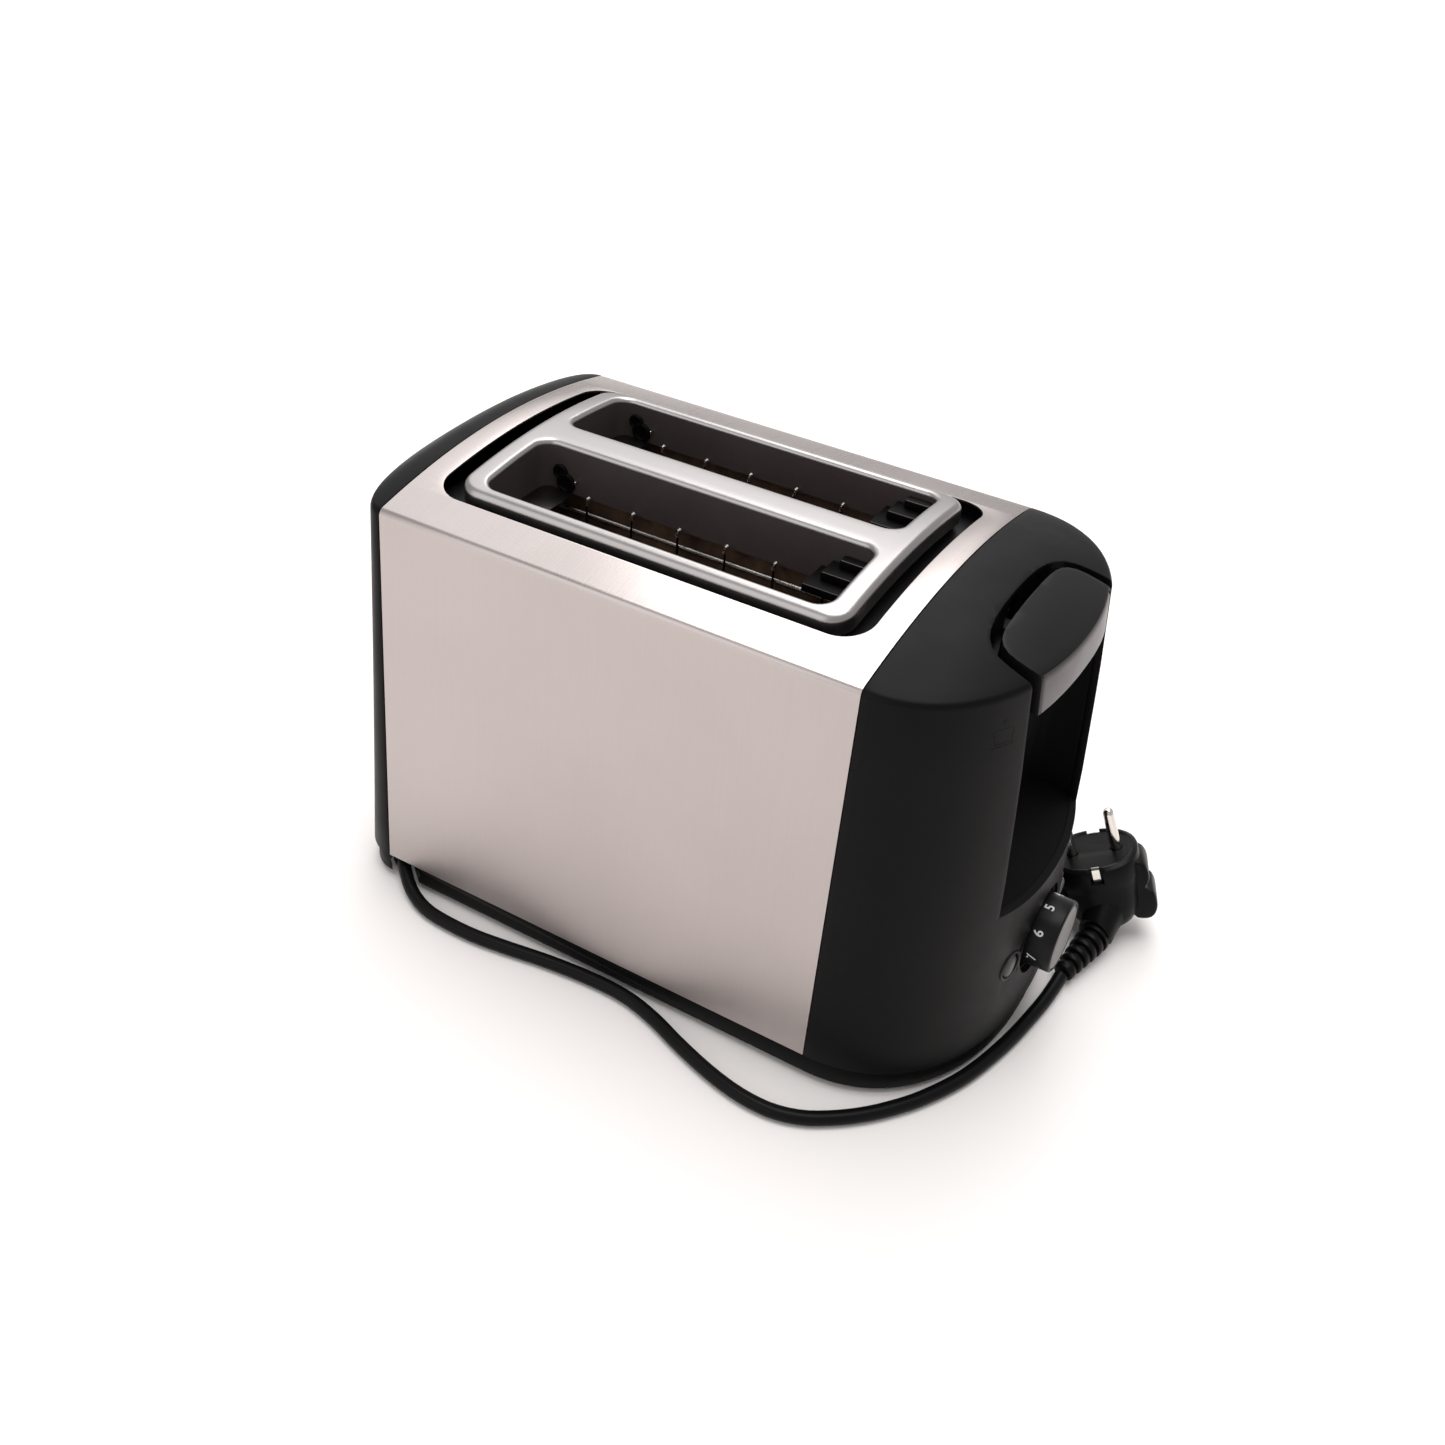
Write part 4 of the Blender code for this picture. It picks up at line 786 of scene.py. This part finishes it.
def chutes():
    """Dark sheet walls that carry each slot's edge down to the guards."""
    sheet = 0.0006
    under = FRAME_TOP - 0.0024
    for name, side in SLOTS:
        rings = [[(x + MID, y, roof(y) + under if at_top else CHUTE_LOW)
                  for x, y in slot_loop(side, outset)]
                 for outset, at_top in ((sheet, False), (sheet, True), (0.0, True), (0.0, False))]
        chute = loft(f"chute_{name}", rings + rings[:1], closed_ends=False)
        bm = bmesh.new()
        bm.from_mesh(chute.data)
        bmesh.ops.remove_doubles(bm, verts=bm.verts, dist=SPECK)
        bmesh.ops.recalc_face_normals(bm, faces=bm.faces)
        bm.to_mesh(chute.data)
        bm.free()
        dress(shade(chute, 40), DARK_SHEET_AND_SHADE, replaces=[f"slot_chute_{name}"])


RECESS_BACK = 0.1255
RAMP_LIP = 0.0792
RAMP_RADIUS = 0.020


def recess_plan(grow):
    side = [(0.0002, 0.012), (0.0008, 0.021), (0.0019, 0.0272), (0.0036, 0.0322), (0.0062, 0.0362),
            (0.0098, 0.0388), (0.0140, 0.0402), (0.0190, 0.0412), (0.0260, 0.0422), (0.0600, 0.0430)]
    points = [(RECESS_BACK + x - grow, y + grow) for x, y in side]
    return [(x, -y) for x, y in reversed(points)] + [(RECESS_BACK - grow, 0.0)] + points


def recess_side(grow):
    top, end_turn = 0.206, 250
    radius = RAMP_RADIUS + grow
    out = RECESS_BACK + RAMP_RADIUS
    slope = tan(radians(end_turn - 270))
    end = out + radius * cos(radians(end_turn))
    reach = HALF_LENGTH + LEVER_DEPTH[0][1] - end
    base = RAMP_LIP - slope * reach + RAMP_RADIUS * sin(radians(end_turn - 180))
    sweep = [180 + (end_turn - 180) * i / 14 for i in range(15)]
    points = [(out + radius * cos(radians(a)), base + radius * sin(radians(a)))
              for a in sweep]
    last = points[-1]
    points.append((last[0] + 0.06, last[1] + slope * 0.06))
    return [(RECESS_BACK - grow, top)] + points + [(last[0] + 0.06, top)]


def recess_block(name, grow):
    block = prism(name, recess_side(grow), -0.06, 0.06, "XZ")
    return combine(block, "INTERSECT", prism("plan", recess_plan(grow), 0.05, 0.22))


def lever_cap():
    cap = cap_solid("lever_end", 1, LEVER_DEPTH, shift=GAP)
    cap = combine(cap, "DIFFERENCE", cap_hollow(1, LEVER_DEPTH))
    slot_plan = rounded(-0.0049, 0.0049, 0.096, 0.1892, 0.0010, 4)
    # painted shade: a near-black sheet just inside the lever recess's walls, where shade falls
    liner = combine(recess_block("recess_liner", 0.0020), "INTERSECT",
                    lever_end_limit(CAP_WALL + 0.0002, steps=40))
    liner = combine(liner, "DIFFERENCE", recess_block("recess", 0.0002),
                    prism("arm_slot", slot_plan, 0.112, 0.133, "YZ"))
    dress(shade(liner, 38), SHADE_BLACK)

    def bar(name, y, start, end, radius, segments):
        return rod(name, (HALF_LENGTH + start, y, DIAL_Z), (HALF_LENGTH + end, y, DIAL_Z), radius, segments)

    cap = combine(cap, "UNION", bar("well", 0, 0.0520, 0.0592, 0.0215, 64))
    cuts = [recess_block("recess", 0.0), bar("dial_well", 0, 0.0542, 0.08, DIAL_WELL, 72),
            bar("shaft_hole", 0, 0.045, 0.07, 0.0045, 32)]
    cuts += [bar("button_hole", side * BUTTON_Y, 0.045, 0.08, 0.0054, 40) for side in (-1, 1)]
    cap = combine(cap, "DIFFERENCE", *cuts)
    cap = soften(cap, 0.0007, 3, 42, 38)
    return dress(cap, BLACK, replaces=["lever_end_cap"])


def rear_cap():
    cap = cap_solid("rear_end", -1, REAR_DEPTH, shift=-GAP)
    cap = combine(cap, "DIFFERENCE", cap_hollow(-1, REAR_DEPTH))
    return dress(soften(cap, 0.0005, 2, 50, 38), BLACK, replaces=["rear_end_cap"])


def body_outline(inset, z=SKIRT_TOP, steps=48):
    half = half_width(z) - inset
    return (cap_ring(1, follow(LEVER_DEPTH, z) - inset, half, steps=steps)
            + cap_ring(-1, follow(REAR_DEPTH, z) - inset, half, steps=steps)[::-1])


def base_pieces():
    pan = prism("base_pan", body_outline(0.0015), 0.003, SKIRT_TOP - GAP)
    pocket = prism("pocket", body_outline(0.0045, steps=32), 0.0055, 0.03)
    door = box("door", (-0.16, -0.0560, 0.0052), (-0.10, 0.0560, 0.03))
    start = CORD_EXIT - CORD_OUT * 0.026
    notch = rod("notch", start, CORD_EXIT + CORD_OUT * 0.03, 0.0053, 32)
    low = box("low", (0.001, -0.0048, -0.012), (0.055, 0.0048, 0.001))
    low.data.transform(Matrix.Translation((-MID, 0, 0)))
    turn = CORD_OUT.to_track_quat("X", "Z").to_matrix().to_4x4()
    low.data.transform(Matrix.Translation(start + SHIFT) @ turn)
    screws = [rod("screw_hole", (x, side * y, 0), (x, side * y, 0.01), 0.0033, 32)
              for x, y in ((-0.1080, 0.0600), (0.1300, 0.0450)) for side in (-1, 1)]
    pan = soften(combine(pan, "DIFFERENCE", pocket, door, notch, low, *screws), 0.0006, 2, 50)
    dress(pan, BLACK, replaces=["base"])
    profile = [(0, 0.0027), (0.0070, 0.0027), (0.0070, 0.0012), (0.0066, 0.0004), (0.0060, 0.0),
               (0.0042, 0.0), (0.0038, 0.0005), (0.0, 0.0005)]
    number = 0
    for x in (-0.088, 0.112):
        for side in (-1, 1):
            number += 1
            foot = lathe(f"rubber_foot_{number}", profile, (x + MID, side * 0.062, 0), (0, 0, 1), 40)
            dress(foot, RUBBER, replaces=[f"foot_{number}"])
    grip = prism("tray_handle", body_outline(0.0010), 0.0058, SKIRT_TOP - 2 * GAP)
    limit = box("limit", (-0.16, -0.0555, 0), (-0.1183, 0.0555, 0.02))
    scoop = rod("scoop", (-0.1420, 0, -0.006), (-0.1300, 0, 0.0075), 0.0140, 48)
    grip = soften(combine(combine(grip, "INTERSECT", limit), "DIFFERENCE", scoop), 0.0006, 2, 40)
    dress(grip, BLACK, "tray", ["tray_grip"])


# ---------------------------------------------------------------- lever and controls
def lever():
    inset = 0.0004
    half = [(0.1310, 0.0000), (0.1311, 0.0130), (0.1313, 0.0200), (0.1318, 0.0258), (0.1328, 0.0298),
            (0.1345, 0.0326), (0.1372, 0.0346), (0.1410, 0.0356), (0.1460, 0.0360), (0.1700, 0.0361)]
    plan = [(x, -y) for x, y in reversed(half[1:])] + half
    crown = lever_end_limit(inset, low=0.1)
    for vertex in crown.data.vertices:
        if vertex.co.z > 0.1835:
            vertex.co.z += PAD_CROWN
    pad = combine(prism("pad", plan, 0.1698, 0.2100), "INTERSECT", crown)
    step = combine(box("step", (0.1395, -0.0346, 0.1600), (0.1800, 0.0346, 0.1846 + PAD_CROWN)),
                   "DIFFERENCE", lever_end_limit(0.0036, low=0.1, behind=0.002, steps=40))
    pad = soften(combine(pad, "DIFFERENCE", step), 0.0008, 4, 38, 38)
    dress(pad, SATIN, "carriage", ["lever_pad"])
    lower = [(0.0344, 0.1698), (0.0300, 0.1703), (0.0220, 0.1712), (0.0120, 0.1719), (0.0, 0.1722)]
    top = 0.1843 + PAD_CROWN
    face = lower + [(-y, z) for y, z in lower[-2::-1]] + [(-0.0344, top), (0.0344, top)]
    trim = combine(prism("lever_band", face, 0.140, 0.175, "YZ"), "INTERSECT",
                   lever_end_limit(inset, low=0.1))
    trim = combine(trim, "DIFFERENCE", lever_end_limit(0.0033, low=0.1, behind=0.002, steps=40))
    dress(soften(trim, 0.0005, 3, 42, 38), GREY, "carriage", ["lever_trim"])


def on_dial(name, text, size, turn, x_middle, radius, proud):
    """A digit bent round the dial, its top towards -X, at a turn from +Z towards -Y."""
    curve = bpy.data.curves.new(name, "FONT")
    curve.body = text
    curve.size = size
    curve.align_x = "CENTER"
    curve.align_y = "CENTER"
    curve.resolution_u = 6
    curve.offset = size * 0.018
    obj = settle(link(name, curve))
    bm = bmesh.new()
    bm.from_mesh(obj.data)
    bmesh.ops.remove_doubles(bm, verts=bm.verts, dist=SPECK)
    bmesh.ops.triangulate(bm, faces=bm.faces)
    grown = bmesh.ops.extrude_face_region(bm, geom=bm.faces[:])["geom"]
    top = {v for v in grown if isinstance(v, bmesh.types.BMVert)}
    for v in bm.verts:
        angle = turn - v.co.x / radius
        r = radius + (proud if v in top else -0.0003)
        v.co = Vector((x_middle + MID - v.co.y, -r * sin(angle), DIAL_Z + r * cos(angle)))
    bmesh.ops.recalc_face_normals(bm, faces=bm.faces)
    bm.to_mesh(obj.data)
    bm.free()
    return shade(obj, 20)


def dial():
    back = HALF_LENGTH + 0.0546
    length = DIAL_FRONT - back
    edge = DIAL_RADIUS
    profile = [(0, length - 0.0008), (edge - 0.0014, length - 0.0008), (edge - 0.0013, length - 0.0002),
               (edge - 0.0011, length), (edge - 0.0006, length - 0.0001),
               (edge - 0.0002, length - 0.0004), (edge, length - 0.0009), (edge + 0.0001, length * 0.6),
               (edge + 0.0002, 0.0012), (edge, 0.0003), (edge - 0.0006, 0.0), (0.0036, 0.0),
               (0.0034, 0.0008), (0.0033, 0.0110), (0, 0.0110)]
    knob = lathe("dial_knob", profile, (back + MID, 0, DIAL_Z), TO_LEVER_END, 96)
    dress(knob, SATIN, "dial", ["browning_knob"])
    face = edge - 0.0016
    disc = lathe("dial_face",
                 [(0, 0.0006), (face * 0.55, 0.00055), (face - 0.0006, 0.0005), (face - 0.0001, 0.0002),
                  (face, -0.0001), (0, -0.0001)],
                 (DIAL_FRONT - 0.0006 + MID, 0, DIAL_Z), TO_LEVER_END, 96)
    dress(disc, SILVER, "dial", ["dial_disc"])
    turns = {n: radians(14 + 43 * (n - 5)) for n in range(1, 8)}
    digits = [on_dial(f"digit_{n}", str(n), 0.0054, turn, 0.1659, edge + 0.00012, 0.00006)
              for n, turn in turns.items()]
    dress(join("dial_digits", *digits), INK, "dial")
    # painted shade: the sunk ring round the dial is lined near-black, where shade falls
    ring = lathe("dial_well_ring",
                 [(DIAL_WELL, 0.0004), (0.0192, 0.0008), (0.0187, 0.0009), (0.0183, 0.0005),
                  (0.0182, -0.0028), (DIAL_WELL, -0.0028), (DIAL_WELL, 0.0004)],
                 (HALF_LENGTH + 0.0571 + MID, 0, DIAL_Z), TO_LEVER_END, 96)
    dress(ring, SHADE_BLACK)


def buttons():
    front = HALF_LENGTH + 0.0588
    profile = [(0, 0.01625), (0.0020, 0.0162), (0.0036, 0.0160), (0.0045, 0.0155), (0.0049, 0.0149),
               (0.0050, 0.0142), (0.0050, 0.0088), (0.0068, 0.0088), (0.0068, 0.0077),
               (0.0020, 0.0074), (0.0020, 0), (0, 0)]
    rim = [(0.0056, 0.0003), (0.0060, 0.0007), (0.0066, 0.0007), (0.0070, 0.0003), (0.0071, -0.0006),
           (0.0056, -0.0006), (0.0056, 0.0003)]
    for name, side in (("stop", -1), ("defrost", 1)):
        cap = lathe(f"{name}_button_cap", profile, (front - 0.0162 + MID, side * BUTTON_Y, DIAL_Z),
                    TO_LEVER_END, 64)
        dress(cap, BUTTON, f"{name}_button", [f"{name}_button"])
        place = cap_point(side * BUTTON_Y, DIAL_Z)
        nearby = cap_point(side * (BUTTON_Y + 0.001), DIAL_Z) - place
        out = Vector((0, 0, 1)).cross(nearby).normalized()
        ring = lathe(f"{name}_button_ring", rim, place, -out if out.x < 0 else out, 64)
        dress(ring, SATIN)


def icon():
    """Bread slice with an arrow above it on the lever end's side: fine dark lines of painted groove shade,
    each with a lighter offset copy as a painted highlight on the groove's edge.
    """
    def outline(points):
        return [cap_point(y, z, proud=0.00002) for y, z in points]

    def dense(points, count=6):
        out = []
        for a, b in zip(points, points[1:]):
            out += [(a[0] + (b[0] - a[0]) * k / count, a[1] + (b[1] - a[1]) * k / count)
                    for k in range(count)]
        return out + [points[-1]]

    y0, z0 = -0.0522, 0.1655
    slice_shape = [(-0.0034, 0.0), (0.0034, 0.0), (0.0034, 0.0032), (0.0042, 0.0040), (0.0040, 0.0052),
                   (0.0026, 0.0058), (-0.0026, 0.0058), (-0.0040, 0.0052), (-0.0042, 0.0040),
                   (-0.0034, 0.0032), (-0.0034, 0.0)]
    arrow = [(0.0, 0.0067), (0.0, 0.0094)]
    head = [(-0.0013, 0.0082), (0.0, 0.0096), (0.0013, 0.0082)]
    slot_line = [(-0.0046, -0.0012), (0.0046, -0.0012)]
    shapes = [dense(shape) for shape in (slice_shape, arrow, head, slot_line)]
    # painted shade along the grooves, then a lighter copy shifted sideways and down as a painted highlight
    for name, mat, radius, shift in (("lift_icon", GROOVE_SHADE, 0.00030, 0.0),
                                     ("lift_icon_highlight", GROOVE_HIGHLIGHT, 0.00016, 0.00034)):
        paths = [outline([(y0 + y + shift, z0 + z - shift) for y, z in shape]) for shape in shapes]
        dress(wires(name, paths, radius, 2), mat)


# ---------------------------------------------------------------- inside the slots
def guards():
    """Wire cages: uprights painted near-black as painted shade, with bright hooked ends over the chute's
    lower edge, and cross wires.
    """
    foot, hook, head = 0.0272, 0.1742, 0.1730
    for slot, side in SLOTS:
        for where, near, outward in (("inner", 0.0098, -1), ("outer", 0.0489, 1)):
            y = side * near
            into = -side * outward          # towards the bread
            body, node = f"guard_{slot}_{where}", f"bread_guard_{slot}_{where}"
            uprights, hooks = [], []
            for k in range(6):
                x = MID - 0.0520 + 0.0216 * k
                uprights.append([(x, y + into * 0.0009, 0.0268), (x, y + into * 0.0009, 0.1640),
                                 (x, y + into * 0.0010, hook)])
                hooks.append([(x, y + into * 0.0010, hook), (x, y + into * 0.0012, 0.1756),
                              (x + 0.0002, y + into * 0.0009, 0.1768),
                              (x + 0.0006, y + into * 0.0001, 0.1774)])
            cross = [[(MID - 0.0755, y, z), (MID + 0.0755, y, z)]
                     for z in (0.1694, 0.1300, 0.0960, 0.0620, foot)]
            cross += [[(MID + x, y, foot), (MID + x, y, head)] for x in (-0.0752, 0.0752)]
            cage = join(f"guard_wires_{slot}_{where}", wires("over", cross, 0.0007, 2),
                        wires("hooks", hooks, 0.0008, 3))
            dress(cage, WIRE, body, [node])
            # painted shade: the uprights are painted near-black though they run on into the bright hooks
            dress(wires(f"guard_uprights_{slot}_{where}", uprights, 0.0005, 2), SHADED_WIRE, body)


def slot_ends():
    """Brackets at both ends of each slot: bosses painted near-black as painted shade in their bores, a tab
    and a shelf, and stepped ledges in painted shade with thin painted highlights along their front edges.
    """
    profile = ((0, 0.0006), (0.62, 0.0006), (0.70, 0.0014), (0.92, 0.0014), (1, 0.0008), (1, 0.0), (0, 0.0))
    for slot, side in SLOTS:
        wall = side * (SLOT_NEAR if side < 0 else SLOT_FAR) - 0.0001
        bosses = [lathe("boss", [(part * r, out) for part, out in profile], (MID + x, wall, z),
                        (0, -1, 0), 40) for x, z, r in ((-0.0668, 0.1838, 0.0034), (-0.0640, 0.1795, 0.0044))]
        bosses = soften(join(f"end_bosses_{slot}", *bosses), 0.0003, 2)
        # painted shade: the bosses are near-black for the dark bores
        dress(bosses, SHADE_BLACK)
        tab = box(f"end_tab_{slot}", (-0.0592, wall - 0.0020, 0.1806), (-0.0584, wall - 0.0002, 0.1822))
        dress(soften(tab, 0.0004, 3), WIRE)
        shelf = box(f"end_shelf_{slot}", (-0.0745, wall - 0.0300, 0.1754), (-0.0600, wall - 0.0006, 0.1760))
        dress(soften(shelf, 0.0002, 2), LEDGE_AND_GLINT)
        steps = [(0.0530 + 0.0045 * k, 0.1821 + 0.0037 * k, 0.0170 - 0.0060 * k) for k in range(3)]
        ledges = [box("ledge", (x, wall - deep, z - 0.0034), (0.0746, wall - 0.0004, z))
                  for x, z, deep in steps]
        ledges = soften(join(f"end_ledges_{slot}", *ledges), 0.0003, 2)
        # painted shade: the stepped ledges are near-black
        dress(ledges, SHADE_BLACK)
        # painted highlight: thin grey lines along each ledge's front edge, where light catches it
        edges = [[(MID + x + 0.0006, wall - deep, z), (MID + 0.0740, wall - deep, z)]
                 for x, z, deep in steps]
        dress(wires(f"end_ledge_highlights_{slot}", edges, 0.00018, 2), LEDGE_AND_GLINT)


# CAD nodes that keep their own shape, by paint
PLAIN = (
    (DECK, ["slot_deck"]),
    (ZINC, ["chassis_plate_lever", "chassis_plate_rear", "heat_shield_front", "heat_shield_back",
            "slider", "bread_rack_front", "bread_rack_back", "latch_keeper", "carriage_bracket",
            "magnet_core", "crumb_tray"]),
    (MICA, ["mica_board_front", "mica_board_middle", "mica_board_back"]),
    (RIBBON, ["heater_ribbon_front", "heater_ribbon_middle_front", "heater_ribbon_middle_back",
              "heater_ribbon_back"]),
    # painted shade: the lever arm is painted dark for the shaded gap round the pad it is seen through
    (DARK_SHEET_AND_SHADE, ["lever_arm"]),
    (NICKEL, ["guide_rod", "return_spring", "dial_shaft"] + [f"base_screw_{n}" for n in range(1, 5)]),
    (COPPER, ["magnet_coil"]),
    (SILVER, ["potentiometer"]),
    (BOARD, ["circuit_board"]),
    (WHITE, ["terminal_block", "inner_lead"]),
)

sleeve()
slot_surround()
chutes()
lever_cap()
rear_cap()
base_pieces()
lever()
dial()
buttons()
icon()
guards()
slot_ends()
for node_paint, node_names in PLAIN:
    for node_name in node_names:
        paint_node(node_name, node_paint)


# ---------------------------------------------------------------- floor, light and camera
def floor():
    bm = bmesh.new()
    bmesh.ops.create_grid(bm, x_segments=2, y_segments=2, size=6.0)
    paint = Paint("floor", (0.90, 0.865, 0.85), 0.85)
    obj = made("floor", bm)
    obj.location.z = -0.0002
    obj.data.materials.append(paint.mat)


def area(name, place, aim, size, power):
    data = bpy.data.lights.new(name, "AREA")
    data.shape = "RECTANGLE"
    data.size, data.size_y = size
    data.energy = power
    obj = link(name, data)
    obj.location = place
    obj.rotation_euler = (Vector(aim) - Vector(place)).to_track_quat("-Z", "Y").to_euler()


def sun(name, toward, strength, angle):
    """Even light from a direction, as from a wide overhead panel."""
    data = bpy.data.lights.new(name, "SUN")
    data.energy = strength
    data.angle = radians(angle)
    obj = link(name, data)
    obj.rotation_euler = Vector(toward).to_track_quat("Z", "Y").to_euler()


def studio():
    world = bpy.data.worlds.new("studio")
    world.use_nodes = True
    background = world.node_tree.nodes["Background"].inputs
    background["Color"].default_value = (1.0, 0.995, 0.99, 1)
    background["Strength"].default_value = 0.55
    bpy.context.scene.world = world
    sun("overhead", (0.0, 0.06, 1.0), 1.9, 45)
    area("front card", (-0.95, -2.10, 1.10), (0, 0, 0.15), (2.4, 2.0), 14)
    area("sky", (-1.05, 1.35, 1.75), (0, 0, 0.19), (2.6, 2.0), 15)
    area("window", (-0.36, 1.00, 1.50), (0, -0.06, 0.19), (0.80, 0.95), 5.0)
    bpy.context.scene.view_settings.view_transform = "Standard"


def camera():
    data = bpy.data.cameras.new("camera")
    data.lens = 40.39
    data.sensor_width = 36
    data.shift_x, data.shift_y = 0.05567, -0.03632
    data.clip_start = 0.01
    data.dof.use_dof = False
    obj = link("camera", data)
    right, up = Vector((0.84676, 0.52995, 0.04635)), Vector((-0.33249, 0.45920, 0.82376))
    back = -Vector((-0.41527, 0.71294, -0.56504))
    turn = Matrix((right, up, back)).transposed().to_4x4()
    obj.matrix_world = Matrix.Translation((0.24435, -0.50084, 0.49315)) @ turn
    bpy.context.scene.camera = obj


floor()
studio()
camera()
